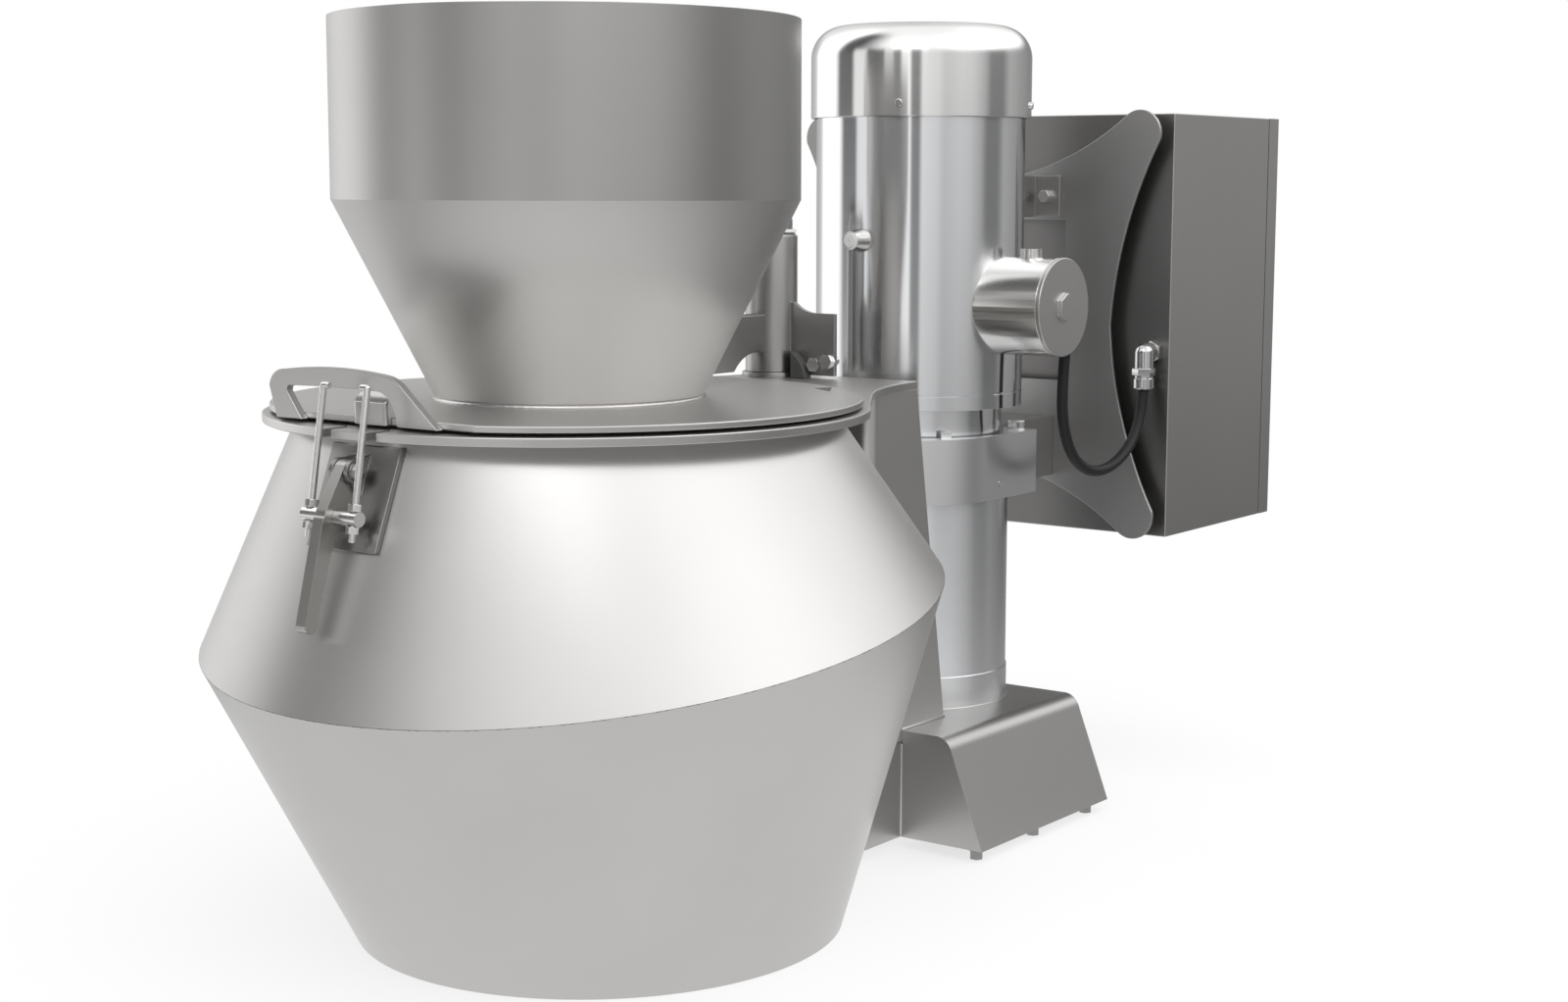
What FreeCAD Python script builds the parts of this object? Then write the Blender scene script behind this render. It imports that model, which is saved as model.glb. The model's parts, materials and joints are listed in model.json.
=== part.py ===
import FreeCAD, Part
import Sketcher
import math
import os
import re

# Centrifugal cheese grater. +Z is up, the machine stands on Z = 0 on its discharge rim and its base bolts.
# +Y runs from the grating head to the motor column and the control cabinet. Lengths are millimetres.

SIZES = {
    # head axis, drive and the running clearances
    "head_y": -396.75, "drive_span": 597.5, "fit_gap": 0.05, "part_gap": 0.3, "run_gap": 3.0, "edge": 4.0,
    # table plate that carries the head
    "table_r": 283.0, "table_top": 506.0, "table_wall": 8.0, "mouth_r": 208.0,
    "shoulder_x": 249.0, "shoulder_y": 133.5, "flank_x": 148.0, "flank_y": 288.0,
    "waist_x": 100.0, "waist_y": 443.0, "waist_bend": 330.0, "notch_w": 14.0,
    "mark_x": 84.0, "mark_y": 282.0, "mark_long": 36.0, "mark_wide": 14.0,
    # two cones on one tilted axis
    "tilt": 8.3, "seam_r": 352.0, "seam_y": 5.3, "seam_z": 319.2, "cone_wall": 3.0,
    "upper_angle": 29.3, "lower_angle": 19.9,
    # lid with a flat at its front, and the feed hopper
    "lid_margin": 7.0, "lid_flat": 26.0, "lid_gap": 3.0, "lid_wall": 6.0, "neck_r": 124.5, "hopper_r": 217.0,
    "hopper_wall": 3.0, "hopper_break": 193.0, "hopper_top": 357.5, "seal_out": 14.0, "seal_w": 8.0,
    # handle on the flat: a plate with a window, its heights measured from the lid's lower face
    "handle_wall": 8.0, "handle_left": 124.0, "handle_right": 82.0, "handle_top": 43.0, "handle_bar": 14.0,
    "handle_bend": 18.0, "handle_crown": 520.0, "handle_shoulder": 40.0, "handle_slope": 38.0,
    "handle_drop": 12.0, "handle_heel": 15.0, "shoulder_run": 24.0, "foot_left": 32.0, "foot_right": 47.0,
    "foot_flare": 9.0, "window_bend": 28.0, "window_corner": 5.0, "window_left": 6.0, "window_edge": 9.5,
    "window_right": 21.5, "window_lean": 2.0,
    # latch keeper on the lid's front edge
    "keeper_half": 20.0, "keeper_out": 7.0, "keeper_in": 20.0, "keeper_h": 31.0, "keeper_face": 19.0,
    "keeper_slope": 16.0, "keeper_round": 5.0,
    # lid hinge, its heights measured from the table top
    "post_x": -70.0, "post_y": 410.0, "post_r": 23.0, "post_tall": 174.0, "post_ring_r": 32.0,
    "post_ring": 5.0, "sleeve_r": 28.5, "post_proud": 18.0,
    "gusset_top": 68.0, "gusset_wall": 5.0, "gusset_side": 9.0,
    "gusset_heel": 27.0, "gusset_cut": 329.0, "gusset_seat": 150.0, "gusset_bend": 50.0, "gusset_back": 40.0,
    "wing_wall": 6.0, "wing_reach": 86.0, "wing_top": 81.0, "wing_low": 70.0, "wing_bend": 45.0,
    "wing_end": 28.0,
    "block_r": 28.0, "block_y": 12.0, "block_off": 8.0, "wing_bolt_r": 5.0, "wing_bolt_hex": 8.5,
    "wing_bolt_head": 8.0, "wing_bolt_tail": 6.0, "near_bolt_x": 63.0, "near_bolt_z": 15.0,
    "far_bolt_x": 80.0, "far_bolt_z": 19.0,
    # toggle latch: fulcrum from the hood's skin and the table top, the rest from the fulcrum
    "fulcrum_off": 18.0, "fulcrum_drop": 34.0, "fulcrum_r": 5.0, "knob_r": 8.0,
    "pin_out": 18.0, "pin_drop": 37.0,
    "pin_r": 6.5, "pin_half": 33.0, "rod_x": 26.5, "rod_r": 3.0, "rod_clear": 24.7, "rod_up": 110.0,
    "rod_down": 20.0, "rod_hook": 7.0, "nut_r": 6.5, "nut_h": 6.0,
    "lever_wall": 12.0, "lever_head": 10.0, "lever_eye": 14.0,
    "knee_out": 8.0, "knee_drop": 4.0, "knee_r": 8.5,
    "grip_out": 50.0, "grip_drop": 126.0, "grip_r": 6.5,
    "latch_half": 42.0, "latch_long": 86.0, "latch_wall": 5.0, "latch_drop": 6.0, "ear_wall": 5.0,
    "ear_r": 11.0,
    # grating head: rings, shoes and knives, and the carrier that hangs from the table
    "head_drop": 102.0, "head_tall": 86.0, "ring_in": 170.0, "ring_edge": 2.0, "ring_h": 10.0,
    "station_count": 10, "shoe_wall": 8.0, "shoe_gap": 7.0, "knife_wall": 1.5, "knife_wide": 26.0,
    "knife_pitch": 11.0, "knife_bevel": 20.0, "head_bolt_r": 5.0, "head_bolt_hex": 9.0, "head_bolt_head": 6.0,
    "head_bolt_in": 12.0, "carrier_bore": 2.0, "carrier_lip": 8.0, "carrier_h": 10.0, "carrier_post": 6.0,
    # impeller and spindle
    "impeller_up": 2.0, "impeller_wall": 8.0, "blade_count": 6, "blade_wall": 6.0,
    "blade_in": 62.0, "blade_bend": 150.0, "crown_in": 126.0, "crown_wall": 5.0,
    "hub_r": 60.0, "hub_h": 12.0, "nose_r": 50.0, "nose_tip": 18.0, "nose_h": 39.0,
    "spindle_r": 20.0, "bearing_r": 36.0, "bearing_h": 18.0, "spindle_tube": 48.0, "spindle_flange": 70.0,
    "spindle_gap": 2.0, "flange_wall": 8.0,
    # belt drive
    "belt_low": 42.0, "belt_wide": 36.0, "belt_wall": 4.0, "driven_r": 78.0, "drive_r": 58.0,
    "pulley_rim": 4.0, "rim_gap": 1.0,
    # belt housing and base, lengthways measured from the motor axis
    "arm_half": 100.0, "arm_wall": 5.0, "arm_aft": 86.5, "arm_top": 116.0, "base_floor": 12.0,
    "base_fore": 179.0, "base_aft": 96.0, "base_rise": 14.0, "ridge_x": 158.0, "foot_x": 203.0,
    "base_wall": 4.0, "base_bend": 20.0, "foot_flange": 34.0, "base_bolt_x": 188.0, "base_bolt_in": 13.5,
    "base_bolt_step": 118.0, "base_bolt_r": 5.0, "base_bolt_flange": 10.0, "base_bolt_collar": 2.0,
    "base_bolt_tail": 8.0, "base_hex": 7.5,
    # channel between the table and the base
    "channel_gap": 1.9, "channel_lap": 86.5, "channel_wall": 5.0, "channel_bend": 14.0,
    # column and clamp
    "column_r": 103.5, "column_wall": 8.2, "column_top": 430.0, "collar_wall": 3.5, "collar_h": 36.0,
    "clamp_tall": 72.0, "clamp_proud": 6.0, "clamp_wall": 6.5, "clamp_fore": 22.5, "clamp_aft": 80.0,
    "clamp_split": 4.0, "lug_turn": 50.0, "lug_wide": 12.0, "lug_thick": 4.5, "lug_tall": 7.0,
    "set_hole_r": 4.0, "set_hole_z": 17.5,
    # motor: a spigot in the column, the housing, its end shield and its fan cap
    "neck_gap": 0.3, "neck_lap": 30.0, "neck_wall": 10.0, "motor_gap": 31.0, "motor_r": 117.5,
    "motor_tall": 368.0, "motor_wall": 12.0, "groove_z": 16.0, "groove_wide": 1.5, "groove_deep": 1.0,
    "web_drop": 15.0, "web_rise": 13.0, "web_seat": 6.0, "shield": 24.0,
    "cap_r": 124.0, "cap_wall": 3.0, "cap_lap": 48.0, "cap_rise": 54.0, "cap_bend": 36.0,
    "cap_screw_up": 14.0, "cap_screw_r": 4.0, "cap_turn": 22.0,
    "shaft_r": 19.0, "stator_r": 105.0, "core_r": 65.0, "core_gap": 1.0,
    "core_rise": 93.0, "core_h": 180.0, "fan_r": 98.0, "fan_gap": 10.0, "fan_h": 26.0, "fan_blades": 7,
    "fan_wall": 3.0, "fan_hub": 28.0, "foot_bearing": 40.0,
    # terminal box, peg and plugs, their heights measured from the motor's lower edge
    "box_r": 54.0, "box_rise": 114.0, "box_end": 184.0, "box_cover": 5.0, "box_wall": 4.0, "cover_hex": 16.0,
    "cover_head": 5.0, "peg_rise": 186.0, "peg_out": 21.0, "peg_r": 10.0, "peg_base": 13.0, "peg_foot": 1.0,
    "plug_r": 13.0, "plug_h": 9.0, "plug_x": 146.0, "side_plug_rise": 169.0, "side_plug_r": 16.0,
    "side_plug_h": 5.0,
    # cabinet and its door
    "cab_x": -312.5, "cab_wide": 500.0, "cab_off": 24.0, "cab_drop": 251.0, "cab_high": 500.0,
    "cab_deep": 256.0, "cab_wall": 2.5,
    "door_deep": 26.0, "door_gap": 1.5, "door_wall": 2.5, "lock_r": 11.0, "lock_in": 45.0,
    "lock_lip": 2.0, "lock_rim": 3.0, "lock_slot": 3.0, "slot_long": 14.0, "slot_deep": 4.0, "cam_long": 30.0,
    "cam_wall": 3.0, "barrel_r": 6.0, "barrel_off": 6.5, "leaf_wall": 3.0, "barrel_pin": 3.0,
    "barrel_h": 26.0, "leaf_wide": 16.0,
    # control gear in the cabinet
    "panel_in": 20.0, "panel_off": 12.0, "panel_wall": 2.5, "stud_r": 5.0,
    "drive_x": 50.0, "drive_z": 250.0, "drive_wide": 130.0, "drive_deep": 125.0, "drive_tall": 185.0,
    "core_x": 260.0, "core_z": 300.0, "core_wide": 90.0, "core_deep": 80.0, "core_tall": 100.0,
    "rail_in": 40.0, "rail_deep": 8.0, "rail_tall": 35.0, "upper_rail_z": 165.0, "lower_rail_z": 70.0,
    "gear_x": 60.0, "device_count": 5, "device_wide": 45.0, "device_pitch": 50.0, "device_deep": 70.0,
    "device_tall": 80.0, "block_count": 14, "block_wide": 8.0, "block_pitch": 10.0, "block_deep": 38.0,
    "block_tall": 50.0,
    # waisted plate that carries the cabinet
    "plate_x": -72.5, "plate_half": 253.5, "plate_reach": 230.5, "plate_wall": 4.0, "plate_ear": 28.0,
    "ear_in": 42.0, "ear_down": 30.0, "plate_flank": 548.0, "plate_crown": 330.0, "plate_rise": 249.0,
    "plate_waist": 192.5, "plate_up": 81.0, "plate_window": 130.0, "window_down": 68.0, "window_up": 124.0,
    "spacer_r": 9.0, "spacer_in": 34.0,
    # brackets between the plate, the motor and the clamp
    "strap_x": 52.0, "strap_rise": 209.0, "strap_tall": 49.0, "strap_wall": 6.0, "strap_arm": 36.0,
    "strap_bolt_r": 8.0, "strap_bolt_in": 18.0, "stay_half": 45.0, "clamp_bolt_r": 11.0, "clamp_bolt_h": 10.0,
    "clamp_bolt_in": 20.0, "clamp_bolt_aft": 12.0,
    # motor cable and its two glands
    "cable_x": 165.0, "cable_r": 6.25, "gland_rise": 49.0, "gland_r": 11.0, "gland_nut": 13.0,
    "gland_nut_h": 15.0, "lock_nut_h": 6.0, "outlet_r": 11.0, "outlet_hex": 13.0, "outlet_nut_h": 10.0,
    "outlet_tall": 26.0,
}

# Places that follow from the sizes.
RELATIONS = {
    "table_low": "table_top - table_wall",
    "upper_run": "(table_low - seam_z + seam_r * sin(tilt)) / cos(tilt)",
    "lower_run": "(seam_z + seam_r * sin(tilt)) / cos(tilt) + seam_y",
    "lid_low": "table_top + lid_gap", "lid_top": "lid_low + lid_wall",
    "lid_r": "table_r - lid_margin", "lid_front": "lid_r - lid_flat", "seal_r": "mouth_r + seal_out",
    "window_top": "handle_top - handle_bar",
    "post_top": "table_top + post_tall", "sleeve_top": "post_top - post_proud",
    "sleeve_low": "table_top + post_ring + part_gap",
    "ring_low": "table_low - head_drop", "ring_high": "ring_low + head_tall",
    "ring_out": "mouth_r - ring_edge",
    "carrier_low": "ring_low - carrier_h", "carrier_ring_r": "mouth_r + carrier_lip",
    "carrier_out": "carrier_ring_r + carrier_lip", "carrier_in": "ring_in - carrier_bore",
    "impeller_r": "ring_in - run_gap", "impeller_low": "ring_low + impeller_up",
    "disc_top": "impeller_low + impeller_wall", "bolt_ring_r": "ring_out - head_bolt_in",
    "spindle_top": "carrier_low - spindle_gap", "pulley_low": "belt_low - pulley_rim",
    "motor_y": "head_y + drive_span",
    "arm_rear": "drive_span + arm_aft", "base_top": "arm_top + base_rise",
    "base_front": "drive_span - base_fore", "base_back": "drive_span + base_aft",
    "base_bolt_y": "base_front + base_bolt_in",
    "channel_front": "seam_y + seam_r * cos(tilt) + channel_gap", "channel_rear": "base_front + channel_lap",
    "clamp_top": "column_top + clamp_proud", "clamp_low": "clamp_top - clamp_tall",
    "clamp_half": "column_r + clamp_wall", "clamp_nose": "drive_span - clamp_fore",
    "clamp_rear": "drive_span + clamp_aft",
    "motor_neck": "column_r - column_wall - neck_gap", "neck_low": "column_top - neck_lap",
    "motor_low": "clamp_top + motor_gap", "motor_top": "motor_low + motor_tall",
    "web_low": "motor_low - web_drop", "web_high": "motor_low + web_rise",
    "groove_low": "motor_low + groove_z",
    "cap_low": "motor_top - cap_lap", "cap_top": "motor_top + cap_rise",
    "cap_screw_z": "cap_low + cap_screw_up",
    "core_low": "motor_low + core_rise", "fan_low": "motor_top + fan_gap",
    "box_z": "motor_low + box_rise", "peg_z": "motor_low + peg_rise",
    "side_plug_z": "motor_low + side_plug_rise",
    "plate_y": "drive_span + plate_reach", "plate_z": "motor_low + plate_up",
    "window_low": "plate_z - window_down", "window_high": "plate_z + window_up",
    "cab_y": "plate_y + cab_off", "cab_low": "plate_z - cab_drop",
    "door_y": "head_y + cab_y + cab_deep + door_gap",
    "strap_low": "motor_low + strap_rise",
}

doc = FreeCAD.newDocument("CheeseGrater")
Vector = FreeCAD.Vector
sheet = doc.addObject("Spreadsheet::Sheet", "Sizes")
for row, (alias, number) in enumerate(SIZES.items(), start=1):
    sheet.set("A%d" % row, alias)
    sheet.set("B%d" % row, str(number))
    sheet.setAlias("B%d" % row, alias)
doc.recompute()
PARTS = []


def linked(formula):
    """The formula with each relation written out and each size as a reference to its cell."""
    def written(match):
        word = match.group()
        if word in RELATIONS:
            return "(" + linked(RELATIONS[word]) + ")"
        return "Sizes." + word if word in SIZES else word
    return re.sub(r"[a-z]\w*", written, str(formula))


def size(formula):
    """The present value of a formula of sheet names."""
    value = sheet.evalExpression(linked(formula))
    return float(getattr(value, "Value", value))


def place(item, x=0, y=0, z=0, axis=None, angle=0):
    """Ties an object's place and turn to formulas."""
    if axis:
        item.Placement = FreeCAD.Placement(Vector(), FreeCAD.Rotation(Vector(*axis), size(angle)))
        item.setExpression("Placement.Rotation.Angle", linked(angle))
    for letter, formula in zip("xyz", (x, y, z)):
        item.setExpression("Placement.Base." + letter, linked(formula))
    return item


def primitive(kind, name, where, axis=None, angle=0, **formulas):
    """A Part primitive whose sizes and place are formulas."""
    item = doc.addObject("Part::" + kind, name)
    for prop, formula in formulas.items():
        item.setExpression(prop, linked(formula))
    return place(item, *where, axis=axis, angle=angle)


def box(name, where, length, width, height):
    return primitive("Box", name, where, Length=length, Width=width, Height=height)


def cylinder(name, where, radius, height, axis=None, angle=0):
    return primitive("Cylinder", name, where, axis, angle, Radius=radius, Height=height)


def ring(name, where, outer, inner, height):
    """A plain ring: a cylinder with a bore."""
    blank = cylinder(name + "_round", where, outer, height)
    return cut(name, blank, cylinder(name + "_bore", where, inner, height))


def fuse(name, *items):
    item = doc.addObject("Part::MultiFuse", name)
    item.Shapes = list(items)
    item.Refine = True
    return item


def cut(name, base, *tools):
    item = doc.addObject("Part::Cut", name)
    item.Base = base
    item.Tool = tools[0] if len(tools) == 1 else fuse(name + "_tools", *tools)
    return item


def group(name, items):
    """Separate solids that share one node."""
    item = doc.addObject("Part::Compound", name)
    item.Links = list(items)
    return item


def keep(label, item):
    """Names a finished sub-part."""
    item.Label = label
    PARTS.append(item)
    return item


def outline(body, plane, corners):
    """A closed sketch. A corner is (x, y), or (x, y, radius, side) when the edge after it is an arc.

    side is 1 for an arc that bulges to the right of the way round, and -1 to its left.
    """
    sketch = body.newObject("Sketcher::SketchObject", body.Name + "_outline")
    support = [item for item in body.Origin.OriginFeatures if item.Role == plane][0]
    sketch.AttachmentSupport = [(support, "")]
    sketch.MapMode = "FlatFace"
    points = [Vector(size(corner[0]), size(corner[1]), 0) for corner in corners]
    starts = []
    for index, corner in enumerate(corners):
        here, there = points[index], points[(index + 1) % len(points)]
        if len(corner) == 2:
            sketch.addGeometry(Part.LineSegment(here, there), False)
            starts.append(1)
        else:
            chord = there - here
            right = Vector(chord.y, -chord.x, 0).normalize() * corner[3]
            radius = size(corner[2])
            rise = radius - math.sqrt(max(radius ** 2 - (chord.Length / 2) ** 2, 0))
            ends = (here, there) if corner[3] > 0 else (there, here)
            sketch.addGeometry(Part.Arc(ends[0], (here + there) * 0.5 + right * rise, ends[1]), False)
            starts.append(1 if corner[3] > 0 else 2)
    for index, corner in enumerate(corners):
        after = (index + 1) % len(corners)
        end = 3 - starts[index]
        sketch.addConstraint(Sketcher.Constraint("Coincident", index, end, after, starts[after]))
    for index, corner in enumerate(corners):
        for kind, formula in (("DistanceX", corner[0]), ("DistanceY", corner[1])):
            number = sketch.addConstraint(
                Sketcher.Constraint(kind, -1, 1, index, starts[index], size(formula)))
            sketch.setExpression("Constraints[%d]" % number, linked(formula))
        if len(corner) > 2:
            number = sketch.addConstraint(Sketcher.Constraint("Radius", index, size(corner[2])))
            sketch.setExpression("Constraints[%d]" % number, linked(corner[2]))
    return sketch


def plate(name, plane, corners, thickness, where, middle=False):
    """A body made by padding an outline."""
    body = doc.addObject("PartDesign::Body", name)
    pad = body.newObject("PartDesign::Pad", name + "_pad")
    body.removeObject(pad)
    sketch = outline(body, plane, corners)
    body.addObject(pad)
    pad.Profile = sketch
    pad.setExpression("Length", linked(thickness))
    pad.Midplane = middle
    return place(body, *where)


def turned(name, corners, where):
    """A body of revolution about its own Z axis; corners are radius and height."""
    body = doc.addObject("PartDesign::Body", name)
    sketch = outline(body, "XZ_Plane", corners)
    turn = body.newObject("PartDesign::Revolution", name + "_turn")
    turn.Profile = sketch
    turn.ReferenceAxis = (sketch, ["V_Axis"])
    turn.Angle = 360
    return place(body, *where)


def feature(name, shape, where=None):
    """A free shape, with its place set after the shape."""
    item = doc.addObject("Part::Feature", name)
    item.Shape = shape
    if where:
        item.Placement = FreeCAD.Placement(Vector(*[size(part) for part in where]), FreeCAD.Rotation())
    return item


def ring_copies(shape, count, centre, turn=0.0):
    """Copies of a shape, evenly round a vertical axis."""
    copies = []
    for number in range(count):
        copy = shape.copy()
        copy.rotate(centre, Vector(0, 0, 1), turn + 360.0 * number / count)
        copies.append(copy)
    return copies


def hexagon(across, height, foot, axis=Vector(0, 0, 1)):
    """A hexagonal prism; across is its corner radius."""
    turn = FreeCAD.Rotation(Vector(0, 0, 1), axis)
    angles = [math.radians(60 * side) for side in range(7)]
    corners = [foot + turn.multVec(Vector(across * math.cos(angle), across * math.sin(angle), 0))
               for angle in angles]
    return Part.Face(Part.makePolygon(corners)).extrude(axis * height)


def rod(radius, start, end):
    """A straight round bar between two points."""
    return Part.makeCylinder(radius, (end - start).Length, start, end - start)


HEAD = (0, "head_y", 0)
HEAD_AXIS = Vector(0, size("head_y"), 0)
MOTOR = (0, "motor_y", 0)
MOTOR_AXIS = Vector(0, size("motor_y"), 0)

# Table plate: a disc round the head, drawn in to a tongue that reaches the hinge post and the channel.
TABLE = (0, "head_y", "table_low")
disc = cylinder("table_disc", TABLE, "table_r", "table_wall")
tongue = plate("table_tongue", "XY_Plane", [
    ("shoulder_x", "shoulder_y"), ("flank_x", "flank_y", "waist_bend", -1), ("waist_x", "waist_y"),
    ("-waist_x", "waist_y", "waist_bend", -1), ("-flank_x", "flank_y"), ("-shoulder_x", "shoulder_y")],
    "table_wall", TABLE)
mouth = cylinder("table_mouth", TABLE, "mouth_r", "table_wall")
notches = [box("table_notch_%d" % side, ("%d * rod_x - notch_w / 2" % side, "head_y - table_r", "table_low"),
               "notch_w", "table_r - lid_front", "table_wall") for side in (1, -1)]
mark = plate("table_mark", "XY_Plane", [
    ("mark_x", "mark_y"), ("mark_x + mark_wide", "mark_y + mark_long / 2"), ("mark_x", "mark_y + mark_long")],
    "table_wall", TABLE)
keep("table_plate", cut("table_plate", fuse("table_blank", disc, tongue), mouth, mark, *notches))


def cone_shell(name, angle, run, turn, trim):
    """One half of the discharge hood: a thin cone from the seam, trimmed flat at its far end."""
    where = (0, "head_y + seam_y", "seam_z")
    skin = "(cone_wall / cos(%s))" % angle
    outer = primitive("Cone", name + "_outer", where, (1, 0, 0), turn, Radius1="seam_r",
                      Radius2="seam_r - %s * tan(%s)" % (run, angle), Height=run)
    inner = primitive("Cone", name + "_inner", where, (1, 0, 0), turn, Radius1="seam_r - " + skin,
                      Radius2="seam_r - %s * tan(%s) - %s" % (run, angle, skin), Height=run)
    return cut(name, outer, inner, *trim)


# Discharge hood: two cones of revolution that meet at a seam square to their tilted axis.
above = box("above_table", ("-2 * seam_r", "head_y - 2 * seam_r", "table_low"), "4 * seam_r", "4 * seam_r",
            "seam_r")
below = box("below_floor", ("-2 * seam_r", "head_y - 2 * seam_r", "-seam_r"), "4 * seam_r", "4 * seam_r",
            "seam_r")
arm_way = box("arm_way", ("-arm_half - part_gap", "head_y + seam_r / 2", 0), "2 * (arm_half + part_gap)",
              "seam_r", "arm_top + part_gap")
keep("upper_cone", cone_shell("upper_cone", "upper_angle", "upper_run", "tilt", [above]))
keep("lower_cone", cone_shell("lower_cone", "lower_angle", "lower_run", "180 + tilt", [below, arm_way]))


def arm_block(name, margin, low, height):
    """The round-nosed plan of the belt arm, taken in by a margin."""
    half = "(arm_half - %s)" % margin
    nose = cylinder(name + "_nose", (0, "head_y", low), half, height)
    length = box(name + "_length", ("-" + half, "head_y", low), "2 * " + half, "arm_rear - %s" % margin,
                 height)
    return fuse(name, nose, length)


# Belt arm: a round-nosed housing from under the head back to the column, open below, with a let-in cover.
arm_holes = [cylinder("spindle_hole", (0, "head_y", "base_floor"), "bearing_r + fit_gap", "arm_top"),
             cylinder("shaft_hole", (0, "motor_y", "base_floor"), "foot_bearing + fit_gap", "arm_top")]
keep("belt_housing", cut("belt_housing", arm_block("arm_outer", "0", "base_floor", "arm_top - base_floor"),
                         arm_block("arm_inner", "arm_wall", "base_floor", "arm_top - arm_wall - base_floor"),
                         *arm_holes))
keep("belt_cover", arm_block("belt_cover", "(arm_wall + part_gap)", "base_floor", "base_wall"))


def base_section(inset, flange):
    """Half outline of the folded base cover in X and Z, from foot to ridge."""
    slope = "((foot_x - ridge_x) / (base_top - base_floor))"
    foot = "foot_x - %s * 1.07" % inset
    low = "base_floor" if flange == 0 else "base_floor + base_wall"
    ridge = "ridge_x - %s * 0.7" % inset
    top = "base_top - %s" % inset
    bend = "(base_bend - %s)" % inset
    return [("%s - %s * (%s - base_floor)" % (foot, slope, low), low),
            ("%s + %s * 0.27" % (ridge, bend), "%s - %s * 0.72" % (top, bend), bend, 1),
            ("%s - %s * 0.62" % (ridge, bend), top)]


def mirrored(half):
    """A half outline continued on the other side of the middle plane."""
    far = [("-(%s)" % corner[0], corner[1]) for corner in reversed(half)]
    far[0] = far[0] + tuple(half[-2][2:])
    return half + far


# Base cover: one folded sheet with inward feet, closed by welded end plates round the belt arm.
base_long = "base_back - base_front"
roof = plate("base_roof", "XZ_Plane", mirrored(base_section("0", 0)), base_long, (0, "head_y + base_back", 0))
hollow = plate("base_hollow", "XZ_Plane", mirrored(base_section("base_wall", 1)),
               base_long + " - 2 * base_wall", (0, "head_y + base_back - base_wall", 0))
well = box("base_well", ("-foot_x + foot_flange", "head_y + base_front + base_wall", "base_floor"),
           "2 * (foot_x - foot_flange)", base_long + " - 2 * base_wall", "base_wall")
arm_gate = box("arm_gate", ("-arm_half - part_gap", "head_y + base_front", "base_floor"),
               "2 * (arm_half + part_gap)", "base_wall", "arm_top + part_gap - base_floor")
roof_hole = cylinder("roof_hole", (0, "motor_y", "base_top - base_wall"), "foot_bearing + fit_gap",
                     "base_wall")
bolt_places = [("%d * base_bolt_x" % side, "head_y + base_bolt_y + %d * base_bolt_step" % step)
               for side in (1, -1) for step in range(3)]
bolt_holes = [cylinder("base_hole_%d" % number, (x, y, "base_floor"), "base_bolt_r + fit_gap", "base_wall")
              for number, (x, y) in enumerate(bolt_places)]
keep("base_cover", cut("base_cover", roof, hollow, well, arm_gate, roof_hole, *bolt_holes))

# Base bolts: flanged hexagon heads under the feet; the machine stands on them and on the discharge rim.
bolts = []
floor, collar = size("base_floor"), size("base_bolt_collar")
for x, y in bolt_places:
    centre = Vector(size(x), size(y), 0)
    head = hexagon(size("base_hex"), floor - collar, centre)
    flange = Part.makeCylinder(size("base_bolt_flange"), collar, centre + Vector(0, 0, floor - collar))
    shank = Part.makeCylinder(size("base_bolt_r"), size("base_wall + base_bolt_tail"),
                              centre + Vector(0, 0, floor))
    bolts.append(head.fuse([flange, shank]).removeSplitter())
keep("base_bolts", feature("base_bolts", Part.makeCompound(bolts)))

# Channel: a folded sheet, closed to the head and open to the column, with slanted rear edges.
channel_tall = "table_low - arm_top"
channel_outer = plate("channel_outer", "XY_Plane", [
    ("arm_half", "channel_rear"), ("-arm_half", "channel_rear"),
    ("-arm_half", "channel_front + channel_bend", "channel_bend", 1),
    ("channel_bend - arm_half", "channel_front"),
    ("arm_half - channel_bend", "channel_front", "channel_bend", 1),
    ("arm_half", "channel_front + channel_bend")], channel_tall, (0, "head_y", "arm_top"))
channel_void = box("channel_void",
                   ("channel_wall - arm_half", "head_y + channel_front + channel_wall", "arm_top"),
                   "2 * (arm_half - channel_wall)", "channel_rear", channel_tall)
channel_slant = plate("channel_slant", "YZ_Plane", [
    ("channel_rear", "arm_top"), ("channel_rear + waist_x", "arm_top"),
    ("channel_rear + waist_x", "table_low"), ("waist_y", "table_low")], "2.5 * arm_half",
    (0, "head_y", 0), middle=True)
keep("frame_channel", cut("frame_channel", channel_outer, channel_void, channel_slant, roof))

# Column: a thick tube welded on the base, with a collar at its foot.
column = ring("column", (0, "motor_y", "base_top"), "column_r", "column_r - column_wall",
              "column_top - base_top")
collar = ring("collar", (0, "motor_y", "base_top"), "column_r + collar_wall", "column_r - column_wall / 2",
              "collar_h")
keep("column_tube", fuse("column_tube", column, collar))

# Clamp: a block round the top of the column, flat at its sides and round at its nose, split at its rear, with
# a locating lug on top and a threaded hole for a set screw in each flat.
clamp_blank = plate("clamp_blank", "XY_Plane", [
    ("clamp_half", "clamp_nose"), ("clamp_half", "clamp_rear"), ("-clamp_half", "clamp_rear"),
    ("-clamp_half", "clamp_nose", "clamp_half", 1), ("0", "clamp_nose - clamp_half", "clamp_half", 1)],
    "clamp_tall", (0, "head_y", "clamp_low"))
clamp_bore = cylinder("clamp_bore", (0, "motor_y", "clamp_low"), "column_r + fit_gap", "clamp_tall")
clamp_slit = box("clamp_slit", ("-clamp_split / 2", "motor_y + column_r / 2", "clamp_low"), "clamp_split",
                 "column_r", "clamp_tall")
set_hole = cylinder("set_hole", ("-2 * column_r", "motor_y", "clamp_low + set_hole_z"), "set_hole_r",
                    "4 * column_r", (0, 1, 0), 90)
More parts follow.
